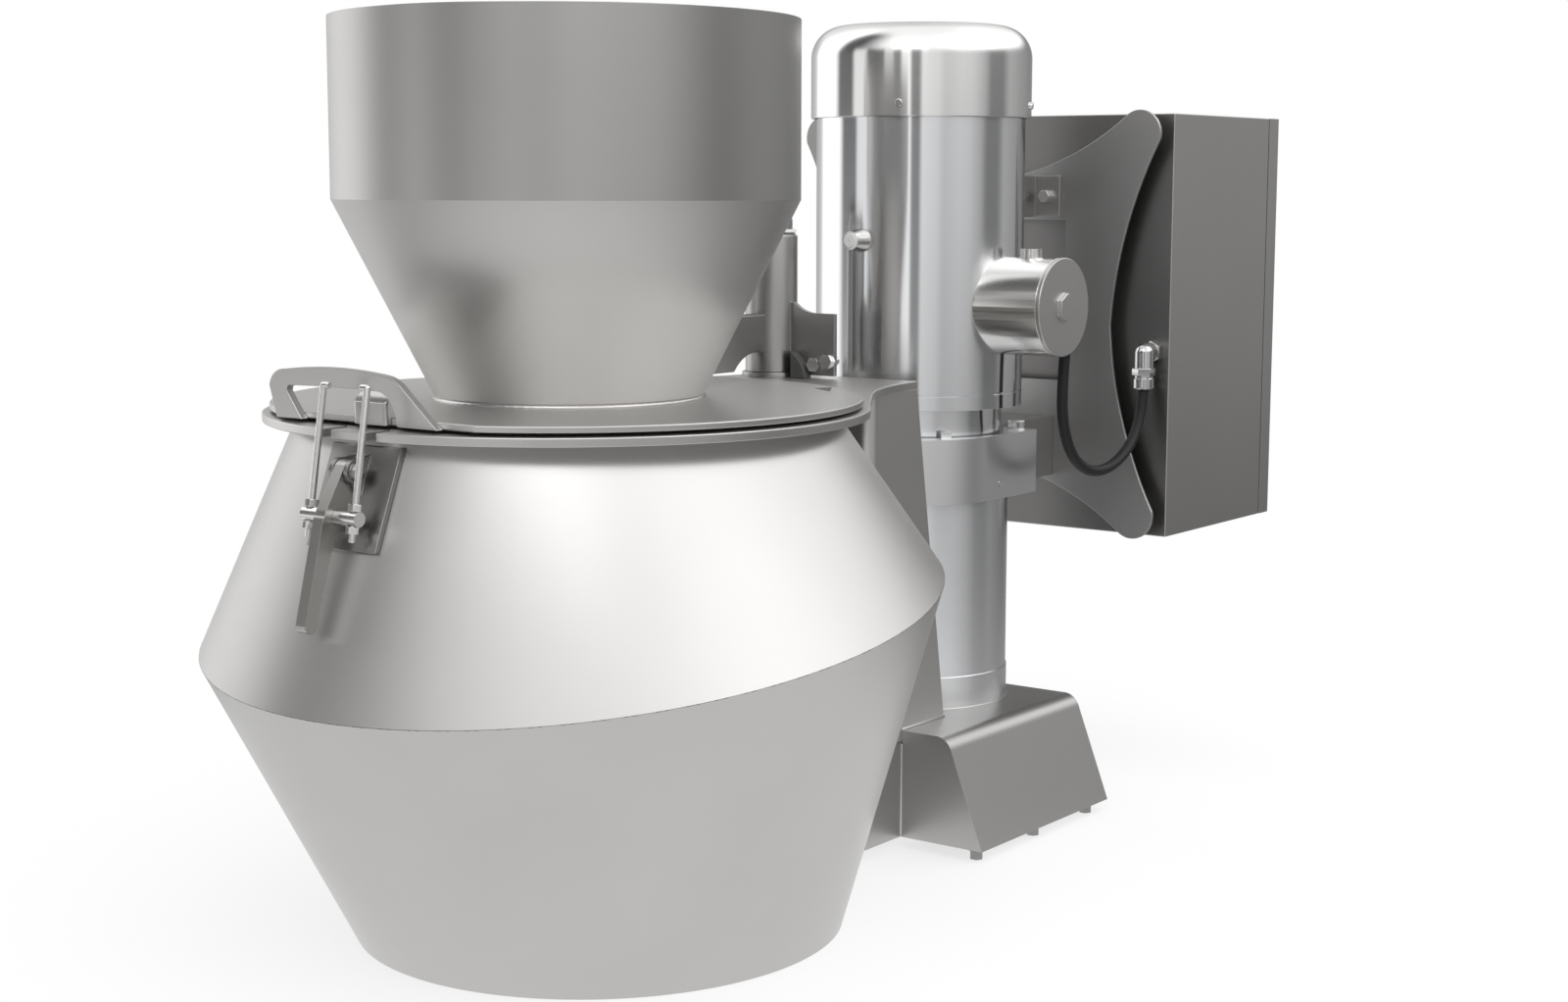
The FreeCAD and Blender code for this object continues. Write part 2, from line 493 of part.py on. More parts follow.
lug = Part.makeBox(size("lug_wide"), size("lug_thick"), size("lug_tall"),
                   MOTOR_AXIS + Vector(-size("lug_wide") / 2, -size("column_r + lug_thick + part_gap"),
                                       size("clamp_top")))
lug.rotate(MOTOR_AXIS, Vector(0, 0, 1), size("lug_turn"))
keep("column_clamp", fuse("column_clamp", cut("clamp_cut", clamp_blank, clamp_bore, clamp_slit, set_hole),
                          feature("clamp_lug", lug)))

# Motor: a turned stainless housing with a spigot in the column, an end shield and a deep-drawn fan cap.
keep("motor_housing", turned("motor_housing", [
    ("motor_neck - neck_wall", "neck_low"), ("motor_neck", "neck_low"), ("motor_neck", "motor_low"),
    ("motor_r", "motor_low"), ("motor_r", "groove_low"), ("motor_r - groove_deep", "groove_low"),
    ("motor_r - groove_deep", "groove_low + groove_wide"), ("motor_r", "groove_low + groove_wide"),
    ("motor_r", "motor_top"), ("bearing_r + fit_gap", "motor_top"),
    ("bearing_r + fit_gap", "motor_top - shield"), ("motor_r - motor_wall", "motor_top - shield"),
    ("motor_r - motor_wall", "web_high"), ("bearing_r + fit_gap", "web_high"),
    ("bearing_r + fit_gap", "web_low"), ("motor_neck - neck_wall", "web_low")], MOTOR))
cap_blank = turned("cap_blank", [
    ("cap_r - cap_wall", "cap_low"), ("cap_r", "cap_low"), ("cap_r", "cap_top - cap_bend", "cap_bend", 1),
    ("cap_r - cap_bend", "cap_top"), ("0", "cap_top"), ("0", "cap_top - cap_wall"),
    ("cap_r - cap_bend", "cap_top - cap_wall", "cap_bend - cap_wall", -1),
    ("cap_r - cap_wall", "cap_top - cap_bend")], MOTOR)
cap_face = size("cap_r + cap_wall")


def cap_pins(radius, reach):
    """Four round pins through the cap's skirt."""
    start = MOTOR_AXIS + Vector(0, -cap_face, size("cap_screw_z"))
    pin = Part.makeCylinder(radius, reach, start, Vector(0, 1, 0))
    return ring_copies(pin, 4, MOTOR_AXIS, size("cap_turn"))


cap_screws = cap_pins(size("cap_screw_r"), cap_face - size("motor_r"))
screw_room = feature("screw_room", Part.makeCompound(cap_pins(size("cap_screw_r + fit_gap"), cap_face / 2)))
keep("motor_cap", cut("motor_cap", cap_blank, screw_room))
keep("stator", ring("stator", (0, "motor_y", "core_low"), "stator_r", "core_r + core_gap", "core_h"))
keep("rotor_bearings", group("rotor_bearings", [
    ring("rotor_bearing_%d" % number, (0, "motor_y", low), outer, "shaft_r + fit_gap", height)
    for number, (low, outer, height) in enumerate((
        ("arm_top - arm_wall", "foot_bearing", "base_rise + arm_wall"),
        ("web_low + web_seat", "bearing_r", "bearing_h"),
        ("motor_top - bearing_h", "bearing_r", "bearing_h")))]))

# Rotor: a long shaft from the fan down through the column to the belt.
keep("rotor_shaft", cylinder("rotor_shaft", (0, "motor_y", "pulley_low"), "shaft_r",
                             "fan_low + fan_h - belt_low"))
keep("rotor_core", ring("rotor_core", (0, "motor_y", "core_low"), "core_r", "shaft_r + fit_gap", "core_h"))
fan_disc = Part.makeCylinder(size("fan_r"), size("fan_wall"), MOTOR_AXIS + Vector(0, 0, size("fan_low")))
fan_foot = MOTOR_AXIS + Vector(0, 0, size("fan_low"))
fan_hub = Part.makeCylinder(size("fan_hub"), size("fan_h"), fan_foot)
vane = Part.makeBox(size("fan_r - fan_hub"), size("fan_wall"), size("fan_h"),
                    fan_foot + Vector(size("fan_hub - fan_wall"), -size("fan_wall") / 2, 0))
fan_bore = Part.makeCylinder(size("shaft_r + fit_gap"), size("fan_h"), fan_foot)
fan = fan_disc.fuse([fan_hub] + ring_copies(vane, int(size("fan_blades")), MOTOR_AXIS)).cut(fan_bore)
keep("cooling_fan", feature("cooling_fan", fan.removeSplitter()))


def pulley(name, radius, bore, where):
    """A flat-belt pulley with two rims."""
    rim = "%s + pulley_rim" % radius
    return keep(name, turned(name, [
        (bore, "-pulley_rim"), (rim, "-pulley_rim"), (rim, "-rim_gap"), (radius, "-rim_gap"),
        (radius, "belt_wide + rim_gap"), (rim, "belt_wide + rim_gap"), (rim, "belt_wide + pulley_rim"),
        (bore, "belt_wide + pulley_rim")], where))


pulley("drive_pulley", "drive_r", "shaft_r + fit_gap", (0, "motor_y", "belt_low"))
pulley("driven_pulley", "driven_r", "spindle_r + fit_gap", (0, "head_y", "belt_low"))


def belt_face(margin):
    """The area inside an open belt run round both pulleys, with a margin."""
    near, far = size("driven_r") + margin, size("drive_r") + margin
    span = size("drive_span")
    lean = math.asin((near - far) / span)
    along, across = math.sin(lean), math.cos(lean)
    a = HEAD_AXIS + Vector(near * across, near * along, 0)
    b = MOTOR_AXIS + Vector(far * across, far * along, 0)
    c = MOTOR_AXIS + Vector(-far * across, far * along, 0)
    d = HEAD_AXIS + Vector(-near * across, near * along, 0)
    edges = [Part.LineSegment(a, b), Part.Arc(b, MOTOR_AXIS + Vector(0, far, 0), c), Part.LineSegment(c, d),
             Part.Arc(d, HEAD_AXIS - Vector(0, near, 0), a)]
    return Part.Face(Part.Wire([edge.toShape() for edge in edges]))


loop = belt_face(size("part_gap + belt_wall")).cut(belt_face(size("part_gap")))
keep("drive_belt", feature("drive_belt", loop.extrude(Vector(0, 0, size("belt_wide"))), (0, 0, "belt_low")))

# Spindle: a flanged tube on the belt arm with two bearings and a seal.
keep("spindle_housing", turned("spindle_housing", [
    ("bearing_r + fit_gap", "arm_top"), ("spindle_flange", "arm_top"),
    ("spindle_flange", "arm_top + flange_wall"),
    ("spindle_tube", "arm_top + flange_wall"), ("spindle_tube", "spindle_top"),
    ("bearing_r + fit_gap", "spindle_top")], HEAD))
keep("spindle_bearings", group("spindle_bearings", [
    ring("spindle_bearing_%d" % number, (0, "head_y", low), "bearing_r", "spindle_r + fit_gap", "bearing_h")
    for number, low in enumerate(("arm_top + flange_wall", "spindle_top - 2 * bearing_h"))]))
keep("spindle_seal", ring("spindle_seal", (0, "head_y", "spindle_top - bearing_h + part_gap"), "bearing_r",
                          "spindle_r + fit_gap", "bearing_h - part_gap"))
keep("spindle_shaft", cylinder("spindle_shaft", (0, "head_y", "pulley_low"), "spindle_r",
                               "impeller_low - pulley_low"))

# Impeller: a disc with a hub and a feed nose, curved paddles and a crown ring that ties their tops.
keep("impeller_disc", turned("impeller_disc", [
    ("spindle_r + fit_gap", "impeller_low - hub_h"), ("hub_r", "impeller_low - hub_h"),
    ("hub_r", "impeller_low"),
    ("impeller_r", "impeller_low"), ("impeller_r", "disc_top"), ("nose_r", "disc_top"),
    ("nose_tip", "disc_top + nose_h"), ("0", "disc_top + nose_h"), ("0", "impeller_low"),
    ("spindle_r + fit_gap", "impeller_low")], HEAD))
blade_tall = size("ring_high - crown_wall - disc_top")
bend, wall = size("blade_bend"), size("blade_wall")
disc_face = HEAD_AXIS + Vector(0, 0, size("disc_top"))
blade_centre = disc_face + Vector(size("blade_in + impeller_r") / 2, -math.sqrt(
    bend ** 2 - (size("impeller_r - blade_in") / 2) ** 2), 0)
sweep = Part.makeCylinder(bend + wall / 2, blade_tall, blade_centre)
sweep = sweep.cut(Part.makeCylinder(bend - wall / 2, blade_tall, blade_centre))
reach = Part.makeCylinder(size("impeller_r - part_gap"), blade_tall, disc_face)
reach = reach.cut(Part.makeCylinder(size("blade_in"), blade_tall, disc_face))
side = Part.makeBox(bend, bend, blade_tall, disc_face + Vector(size("blade_in") / 2, -bend / 2, 0))
blade = sweep.common(reach).common(side)
crown_foot = disc_face + Vector(0, 0, blade_tall)
crown = Part.makeCylinder(size("impeller_r - part_gap"), size("crown_wall"), crown_foot)
crown = crown.cut(Part.makeCylinder(size("crown_in"), size("crown_wall"), crown_foot))
paddles = crown.fuse(ring_copies(blade, int(size("blade_count")), HEAD_AXIS))
keep("impeller_paddles", feature("impeller_paddles", paddles.removeSplitter()))

# Grating head: two rings, a shoe and a knife at each station, and the bolts through the rings.
stations = int(size("station_count"))
shoe_tall = size("head_tall - ring_h")
span = 360.0 / stations
shoe_foot = HEAD_AXIS + Vector(0, 0, size("ring_low + ring_h"))
bolt_foot = Vector(size("bolt_ring_r"), 0, 0)
shoe = Part.makeCylinder(size("ring_in + shoe_wall"), shoe_tall, shoe_foot, Vector(0, 0, 1),
                         span - size("shoe_gap"))
shoe = shoe.cut(Part.makeCylinder(size("ring_in"), shoe_tall, shoe_foot))
boss = Part.makeCylinder(size("head_bolt_hex"), shoe_tall, shoe_foot + bolt_foot)
rib = Part.makeBox(size("bolt_ring_r - ring_in - shoe_wall / 2"), size("shoe_wall"), shoe_tall,
                   shoe_foot + Vector(size("ring_in + shoe_wall / 2"), -size("shoe_wall") / 2, 0))
boss = boss.fuse(rib)
boss.rotate(HEAD_AXIS, Vector(0, 0, 1), span / 2)
bolt_bore = Part.makeCylinder(size("head_bolt_r + fit_gap"), shoe_tall, shoe_foot + bolt_foot)
bolt_bore.rotate(HEAD_AXIS, Vector(0, 0, 1), span / 2)
shoe = shoe.fuse(boss).cut(bolt_bore).removeSplitter()
keep("knife_shoes", feature("knife_shoes", Part.makeCompound(ring_copies(shoe, stations, HEAD_AXIS))))
knife = Part.makeBox(size("knife_wall"), size("knife_wide"), shoe_tall - 2 * size("part_gap"))
edge_cut = Part.makeBox(size("knife_wall") * 2, size("edge"), shoe_tall)
edge_cut.rotate(Vector(), Vector(0, 0, 1), -size("knife_bevel"))
knife = knife.cut(edge_cut)
knife.rotate(Vector(), Vector(0, 0, 1), -size("knife_pitch"))
knife.translate(shoe_foot + Vector(size("ring_in + knife_wall / 2"), 0, size("part_gap")))
knife.rotate(HEAD_AXIS, Vector(0, 0, 1), -size("shoe_gap"))
knife = knife.cut(shoe)
knife = knife.cut(ring_copies(shoe, 1, HEAD_AXIS, -span)[0])
knife = max(knife.Solids, key=lambda solid: solid.Volume)
keep("knives", feature("knives", Part.makeCompound(ring_copies(knife, stations, HEAD_AXIS))))
head_foot = HEAD_AXIS + bolt_foot + Vector(0, 0, size("ring_low"))
head_bolt = Part.makeCylinder(size("head_bolt_r"), size("head_tall + ring_h"), head_foot)
head_bolt = head_bolt.fuse(hexagon(size("head_bolt_hex"), size("head_bolt_head"),
                                   head_foot + Vector(0, 0, size("head_tall + ring_h"))))
head_bores = Part.makeCompound(ring_copies(Part.makeCylinder(
    size("head_bolt_r + fit_gap"), size("head_tall + ring_h"), head_foot), stations, HEAD_AXIS, span / 2))
keep("head_bolts", feature("head_bolts", Part.makeCompound(ring_copies(
    head_bolt.removeSplitter(), stations, HEAD_AXIS, span / 2))))
bore_tool = feature("head_bores", head_bores)
keep("head_rings", group("head_rings", [
    cut("head_ring_" + end, ring("blank_" + end, (0, "head_y", "ring_" + end), "ring_out", "ring_in",
                                 "ring_h"), bore_tool) for end in ("low", "high")]))

# Head carrier: a ring on four posts welded under the table plate.
carrier_foot = HEAD_AXIS + Vector(0, 0, size("carrier_low"))
carrier = Part.makeCylinder(size("carrier_out"), size("carrier_h"), carrier_foot)
carrier = carrier.cut(Part.makeCylinder(size("carrier_in"), size("carrier_h"), carrier_foot))
post = Part.makeCylinder(size("carrier_post"), size("head_drop"),
                         HEAD_AXIS + Vector(size("carrier_ring_r"), 0, size("ring_low")))
carrier = carrier.fuse(ring_copies(post, 4, HEAD_AXIS, 45)).removeSplitter()
keep("head_carrier", feature("head_carrier", carrier))

# Lid: a disc with a flat at its front, the feed hopper welded on it, and a seal.
LID = (0, "head_y", "lid_low")
lid_disc = cylinder("lid_disc", LID, "lid_r", "lid_wall")
lid_mouth = cylinder("lid_mouth", LID, "neck_r - hopper_wall", "lid_wall")
lid_flat = box("lid_flat_cut", ("-lid_r", "head_y - lid_r", "lid_low"), "2 * lid_r", "lid_flat", "lid_wall")
keep("lid_plate", cut("lid_plate", lid_disc, lid_mouth, lid_flat))
keep("lid_seal", ring("lid_seal", (0, "head_y", "table_top + part_gap"), "seal_r", "seal_r - seal_w",
                      "lid_gap - part_gap"))
keep("feed_hopper", turned("feed_hopper", [
    ("neck_r - hopper_wall", "lid_top"), ("neck_r", "lid_top"), ("hopper_r", "table_top + hopper_break"),
    ("hopper_r", "table_top + hopper_top"), ("hopper_r - hopper_wall", "table_top + hopper_top"),
    ("hopper_r - hopper_wall", "table_top + hopper_break")], HEAD))

# Handle: a flat plate with a window, welded on edge to the lid's front flat.
keep("lid_handle", plate("lid_handle", "XZ_Plane", [
    ("handle_bend / 2 - handle_left", 0), ("-handle_left", "handle_top - handle_heel", "handle_bend", -1),
    ("handle_bend - handle_left", "handle_top", "handle_crown", -1),
    ("handle_right - handle_slope - shoulder_run", "handle_top", "handle_shoulder", -1),
    ("handle_right - handle_slope", "handle_top - handle_drop"), ("handle_right", 0),
    ("handle_right - foot_right", 0),
    ("handle_right - foot_right - window_lean", "window_top - handle_bend", "window_bend", 1),
    ("handle_right - foot_right - window_right", "window_top", "3 * handle_crown", 1),
    ("foot_left - handle_left - window_left", "window_top", "window_corner", 1),
    ("foot_left - handle_left - window_edge", "window_top - window_corner"),
    ("foot_left - handle_left + foot_flare", 0)],
    "handle_wall", (0, "head_y - lid_front - handle_wall / 2", "lid_low"), middle=True))

# Latch keeper: a block let over the lid's front edge, round at its front corners, with a slope for the rods.
keeper_side = plate("keeper_side", "YZ_Plane", [
    ("-keeper_out", 0), (0, 0), (0, "lid_wall"), ("keeper_in", "lid_wall"), ("keeper_in", "keeper_h"),
    ("keeper_slope - keeper_out", "keeper_h"), ("-keeper_out", "keeper_face")], "2 * keeper_half",
    (0, "head_y - lid_front", "lid_low"), middle=True)
keeper_plan = plate("keeper_plan", "XY_Plane", [
    ("keeper_half", "keeper_in"), ("-keeper_half", "keeper_in"),
    ("-keeper_half", "keeper_round - keeper_out", "keeper_round", 1),
    ("keeper_round - keeper_half", "-keeper_out"),
    ("keeper_half - keeper_round", "-keeper_out", "keeper_round", 1),
    ("keeper_half", "keeper_round - keeper_out")], "keeper_h", (0, "head_y - lid_front", "lid_low"))
keeper = doc.addObject("Part::Common", "keeper_block")
keeper.Base, keeper.Tool = keeper_side, keeper_plan
keep("keeper_block", keeper)

# Lid hinge: a fixed post with a ring at its foot, and a sleeve that turns on it.
POST = ("post_x", "head_y + post_y", 0)
POST_FOOT = ("post_x", "head_y + post_y", "table_top")
keep("hinge_post", turned("hinge_post", [
    ("0", "table_top"), ("post_ring_r", "table_top"), ("post_ring_r", "table_top + post_ring"),
    ("post_r", "table_top + post_ring"), ("post_r", "post_top - edge"), ("post_r - edge", "post_top"),
    ("0", "post_top")], POST))
sleeve = turned("sleeve", [
    ("post_r + fit_gap", "sleeve_low"), ("sleeve_r", "sleeve_low"), ("sleeve_r", "sleeve_top - edge"),
    ("sleeve_r - edge", "sleeve_top"), ("post_r + fit_gap", "sleeve_top")], POST)
wing = plate("wing", "XZ_Plane", [
    ("0", "lid_gap"), ("wing_reach", "lid_gap"), ("wing_reach", "wing_low"),
    ("wing_reach - wing_end", "wing_low", "wing_bend", -1), ("sleeve_r + edge", "wing_top"),
    ("0", "wing_top")], "wing_wall", POST_FOOT, middle=True)
wing_bore = cylinder("wing_bore", POST_FOOT, "post_r + fit_gap", "2 * wing_top")
ring_room = cylinder("ring_room", POST_FOOT, "post_ring_r + part_gap", "post_ring + part_gap")
sleeve_blank = fuse("sleeve_blank", sleeve, cut("wing_trimmed", wing, wing_bore, ring_room))
cheeks = []
for side in (1, -1):
    cheek_x = "post_x + %d * gusset_side" % side
    cheek = plate("cheek_%s" % ("right" if side > 0 else "left"), "YZ_Plane", [
        ("gusset_seat", "lid_gap + lid_wall"), ("gusset_cut", "lid_gap + lid_wall", "gusset_bend", -1),
        ("post_y - sleeve_r - edge", "gusset_heel"), ("post_y", "gusset_heel"), ("post_y", "gusset_top"),
        ("gusset_seat - gusset_back", "gusset_top")], "gusset_wall", (cheek_x, "head_y", "table_top"),
        middle=True)
    cheeks.append(cheek)
hopper_core = primitive("Cone", "hopper_core", (0, "head_y", "lid_top"), Radius1="neck_r", Radius2="hopper_r",
                        Height="hopper_break - lid_gap - lid_wall")
sleeve_core = cylinder("sleeve_core", POST_FOOT, "sleeve_r", "post_tall")
keep("hinge_gussets", group("hinge_gussets", [
    cut("gusset_%d" % number, cheek, hopper_core, sleeve_core) for number, cheek in enumerate(cheeks)]))
keep("interlock_block", plate("interlock_block", "XZ_Plane", [
    ("sleeve_r + block_off", "part_gap"),
    ("sleeve_r + block_off + block_r * 0.7", "part_gap", "block_r * 1.4", 1),
    ("sleeve_r + block_off", "block_r + part_gap")], "block_y",
    ("post_x", "head_y + post_y - wing_wall / 2", "table_top")))
wing_face = Vector(size("post_x"), size("head_y + post_y - wing_wall / 2"), size("table_top"))
wing_bolts, wing_drills = [], []
for bolt in ("near", "far"):
    start = wing_face + Vector(size(bolt + "_bolt_x"), 0, size(bolt + "_bolt_z"))
    along = Vector(0, size("wing_wall + wing_bolt_tail"), 0)
    head = hexagon(size("wing_bolt_hex"), size("wing_bolt_head"),
                   start - Vector(0, size("wing_bolt_head"), 0), Vector(0, 1, 0))
    wing_bolts.append(head.fuse(rod(size("wing_bolt_r"), start, start + along)))
    wing_drills.append(rod(size("wing_bolt_r + fit_gap"), start - along, start + along))
keep("wing_bolts", feature("wing_bolts", Part.makeCompound(wing_bolts)))
keep("hinge_sleeve", cut("hinge_sleeve", sleeve_blank, feature("wing_drill", Part.makeCompound(wing_drills))))

# Toggle latch: a curved plate with two ears on the hood, the lever, a cross pin, two hooked rods, their nuts.
wall_lean = math.radians(size("upper_angle - tilt"))
cone_down = Vector(0, -math.sin(wall_lean), -math.cos(wall_lean))
cone_out = Vector(0, -math.cos(wall_lean), math.sin(wall_lean))
seam_front = Vector(0, size("head_y + seam_y - seam_r * cos(tilt)"), size("seam_z - seam_r * sin(tilt)"))


def on_hood(height):
    """The point of the hood's front line at a height."""
    return seam_front - cone_down * ((height - seam_front.z) / math.cos(wall_lean))


fulcrum = on_hood(size("table_top - fulcrum_drop")) + Vector(0, -size("fulcrum_off"), 0)
cross = fulcrum - Vector(0, size("pin_out"), size("pin_drop"))
grip = fulcrum - Vector(0, size("grip_out"), size("grip_drop"))
knee = cross - Vector(0, size("knee_out"), size("knee_drop"))


def hood_solid(offset):
    """The upper cone filled, its skin moved outwards by an offset."""
    angle = math.radians(size("upper_angle"))
    low = size("seam_r") + offset / math.cos(angle)
    cone = Part.makeCone(low, low - size("upper_run") * math.tan(angle), size("upper_run"))
    cone.rotate(Vector(), Vector(1, 0, 0), size("tilt"))
    cone.translate(Vector(0, size("head_y + seam_y"), size("seam_z")))
    return cone


plate_top = on_hood(size("table_low - latch_drop"))
front_room = Part.makeBox(size("2 * latch_half"), size("seam_r"), size("latch_long"),
                          Vector(-size("latch_half"), size("head_y - seam_r - latch_wall"),
                                 plate_top.z - size("latch_long")))
backing = hood_solid(size("part_gap + latch_wall")).cut(hood_solid(size("part_gap"))).common(front_room)
ears = []
for side in (1, -1):
    x = side * (size("lever_wall") / 2 + size("part_gap")) + (0 if side > 0 else -size("ear_wall"))
    knob = Part.makeCylinder(size("ear_r"), size("ear_wall"), Vector(x, fulcrum.y, fulcrum.z),
                             Vector(1, 0, 0))
    root = fulcrum - cone_out * ((fulcrum - plate_top).dot(cone_out) - size("latch_wall"))
    web = Part.Face(Part.makePolygon([
        Vector(x, 0, 0) + point for point in (
            fulcrum - cone_down * size("ear_r"), fulcrum + cone_down * size("ear_r"),
            root + cone_down * size("ear_r * 1.6"), root - cone_down * size("ear_r * 1.6"),
            fulcrum - cone_down * size("ear_r"))])).extrude(Vector(size("ear_wall"), 0, 0))
    ears += [knob, web]
ear_face = Vector(size("lever_wall / 2 + part_gap + ear_wall"), 0, 0)
pivot = rod(size("fulcrum_r"), fulcrum - ear_face, fulcrum + ear_face)
dome = Part.makeSphere(size("knob_r"), fulcrum + ear_face, Vector(1, 0, 0), 0, 90, 360)
keep("latch_base", feature("latch_base", backing.fuse(ears + [pivot, dome]).removeSplitter()))

lever_half = Vector(size("lever_wall") / 2, 0, 0)


def lever_disc(centre, radius):
    return Part.makeCylinder(radius, 2 * lever_half.x, centre - lever_half, Vector(1, 0, 0))


def lever_web(first, first_r, second, second_r):
    """A flat bar with straight sides that touch two discs."""
    way = second - first
    lean = math.asin((first_r - second_r) / way.Length)
    along, across = way.normalize(), Vector(0, -way.z, way.y).normalize()
    left = along * math.sin(lean) + across * math.cos(lean)
    right = along * math.sin(lean) - across * math.cos(lean)
    points = [first + left * first_r, second + left * second_r, second + right * second_r,
              first + right * first_r, first + left * first_r]
    return Part.Face(Part.makePolygon([point - lever_half for point in points])).extrude(2 * lever_half)


head_r, eye_r = size("lever_head"), size("lever_eye")
knee_r, grip_r = size("knee_r"), size("grip_r")
lever = lever_disc(fulcrum, head_r).fuse([
    lever_disc(cross, eye_r), lever_disc(knee, knee_r), lever_disc(grip, grip_r),
    lever_web(fulcrum, head_r, cross, eye_r), lever_web(knee, knee_r, grip, grip_r)])
lever = lever.cut([rod(size(bore + "_r + fit_gap"), centre - 2 * lever_half, centre + 2 * lever_half)
                   for bore, centre in (("fulcrum", fulcrum), ("pin", cross))])
keep("latch_lever", feature("latch_lever", lever.removeSplitter()))

lean = math.asin((size("head_y - lid_front - handle_wall - rod_clear") - cross.y) / size("rod_up"))
rod_up = Vector(0, math.sin(lean), math.cos(lean))
rods, nuts, rod_bores = [], [], []
for side in (1, -1):
    middle = cross + Vector(side * size("rod_x"), 0, 0)
    top, foot = middle + rod_up * size("rod_up"), middle - rod_up * size("rod_down")
    hook = top - Vector(side * size("rod_hook"), 0, 0)
    bar = rod(size("rod_r"), foot, top).fuse([Part.makeSphere(size("rod_r"), top),
                                              rod(size("rod_r"), top, hook)])
    rods.append(bar.removeSplitter())
    rod_bores.append(rod(size("rod_r + fit_gap"), foot, top))
    for start in (middle + rod_up * size("pin_r"), middle - rod_up * size("pin_r + nut_h")):
        nut = hexagon(size("nut_r"), size("nut_h"), start, rod_up)
        nuts.append(nut.cut(rod(size("rod_r + fit_gap"), foot, top)))
pin = rod(size("pin_r"), cross - Vector(size("pin_half"), 0, 0), cross + Vector(size("pin_half"), 0, 0))
keep("cross_pin", feature("cross_pin", pin.cut(rod_bores)))
keep("bail_rods", feature("bail_rods", Part.makeCompound(rods)))
keep("bail_nuts", feature("bail_nuts", Part.makeCompound(nuts)))

# Terminal box: a short drum on the +X side of the motor, with a flat cover and one hexagon bolt.
drum = cylinder("drum", (0, "motor_y", "box_z"), "box_r", "box_end", (0, 1, 0), 90)
drum_void = cylinder("drum_void", (0, "motor_y", "box_z"), "box_r - box_wall", "box_end", (0, 1, 0), 90)
motor_core = cylinder("motor_core", (0, "motor_y", "motor_low"), "motor_r", "motor_tall")
keep("junction_box", cut("junction_box", drum, drum_void, motor_core))
cover = Part.makeCylinder(size("box_r"), size("box_cover"),
                          Vector(size("box_end"), MOTOR_AXIS.y, size("box_z")), Vector(1, 0, 0))
cover_bolt = hexagon(size("cover_hex"), size("cover_head"),
                     Vector(size("box_end + box_cover"), MOTOR_AXIS.y, size("box_z")), Vector(1, 0, 0))
keep("junction_cover", feature("junction_cover", cover.fuse(cover_bolt)))
edge = size("edge")
motor_round = Part.makeCylinder(size("motor_r"), size("motor_tall"),
                                MOTOR_AXIS + Vector(0, 0, size("motor_low")))
drum_round = Part.makeCylinder(size("box_r"), size("box_end"), MOTOR_AXIS + Vector(0, 0, size("box_z")),
                               Vector(1, 0, 0))
peg_foot, forward = MOTOR_AXIS + Vector(0, -size("motor_r"), size("peg_z")), Vector(0, -1, 0)
peg = Part.makeCylinder(size("peg_base"), edge, peg_foot - forward * (edge - size("peg_foot")), forward)
peg = peg.fuse([
    Part.makeCone(size("peg_base"), size("peg_r"), size("peg_out") - edge, peg_foot, forward),
    Part.makeCylinder(size("peg_r"), edge, peg_foot + forward * (size("peg_out") - edge), forward)])
side_plug = Part.makeCylinder(size("side_plug_r"), size("side_plug_h") + edge,
                              MOTOR_AXIS + Vector(edge - size("motor_r"), 0, size("side_plug_z")),
                              Vector(-1, 0, 0))
top_plug = Part.makeCylinder(size("plug_r"), size("plug_h") + edge,
                             Vector(size("plug_x"), MOTOR_AXIS.y, size("box_z + box_r") - edge))
keep("motor_plugs", feature("motor_plugs", Part.makeCompound([
    peg.cut(motor_round).removeSplitter(), side_plug.cut(motor_round), top_plug.cut(drum_round)])))

# Motor cable: held by a gland under the terminal box and by an elbow gland on the cabinet.
# Each point of the route is measured from the motor axis and from the motor's lower edge.
ROUTE = [(45.5, 60.0), (40.5, 20.0), (43.5, -20.0), (62.5, -55.0), (96.5, -76.0), (135.5, -81.0),
         (174.5, -73.0), (208.5, -53.0), (228.5, -23.0), (233.5, 8.0)]


def cable_path(route):
    """Straight runs joined by tangent arcs; returns the wire and the radii."""
    edges, radii = [], []
    start = route[0]
    for before, corner, after in zip(route, route[1:], route[2:]):
        come, go = (corner - before).normalize(), (after - corner).normalize()
        turn = come.getAngle(go)
        run = min((corner - before).Length, (after - corner).Length)
        back = 0.45 * run
        radii.append(back / math.tan(turn / 2))
        first, last = corner - come * back, corner + go * back
        inward = (go - come).normalize()
        middle = corner + inward * (radii[-1] / math.cos(turn / 2) - radii[-1])
        edges += [Part.LineSegment(start, first).toShape(), Part.Arc(first, middle, last).toShape()]
        start = last
    edges.append(Part.LineSegment(start, route[-1]).toShape())
    return Part.Wire(edges), radii


route = [Vector(size("cable_x"), MOTOR_AXIS.y + y, size("motor_low") + z) for y, z in ROUTE]
path, radii = cable_path(route)
ends = Part.Wire(Part.makeCircle(size("cable_r"), route[0], route[1] - route[0]))
cable = path.makePipeShell([ends], True, False)
print("cable length %.1f, radii %s, volume ratio %.4f" % (
    path.Length, [round(radius) for radius in radii],
    cable.Volume / (math.pi * size("cable_r") ** 2 * path.Length)))
keep("motor_cable", feature("motor_cable", cable))
outlet, inlet = route[0], route[-1]
outlet_gland = hexagon(size("outlet_hex"), size("outlet_nut_h"), outlet).fuse(
    Part.makeCylinder(size("outlet_r"), size("outlet_tall"), outlet + Vector(0, 0, size("outlet_nut_h"))))
keep("motor_gland", feature("motor_gland", outlet_gland.cut([drum_round, cable])))
nut_h = size("gland_nut_h")
leg_top = Vector(inlet.x, inlet.y, size("motor_low + gland_rise"))
lower_nut = hexagon(size("gland_nut"), nut_h, inlet)
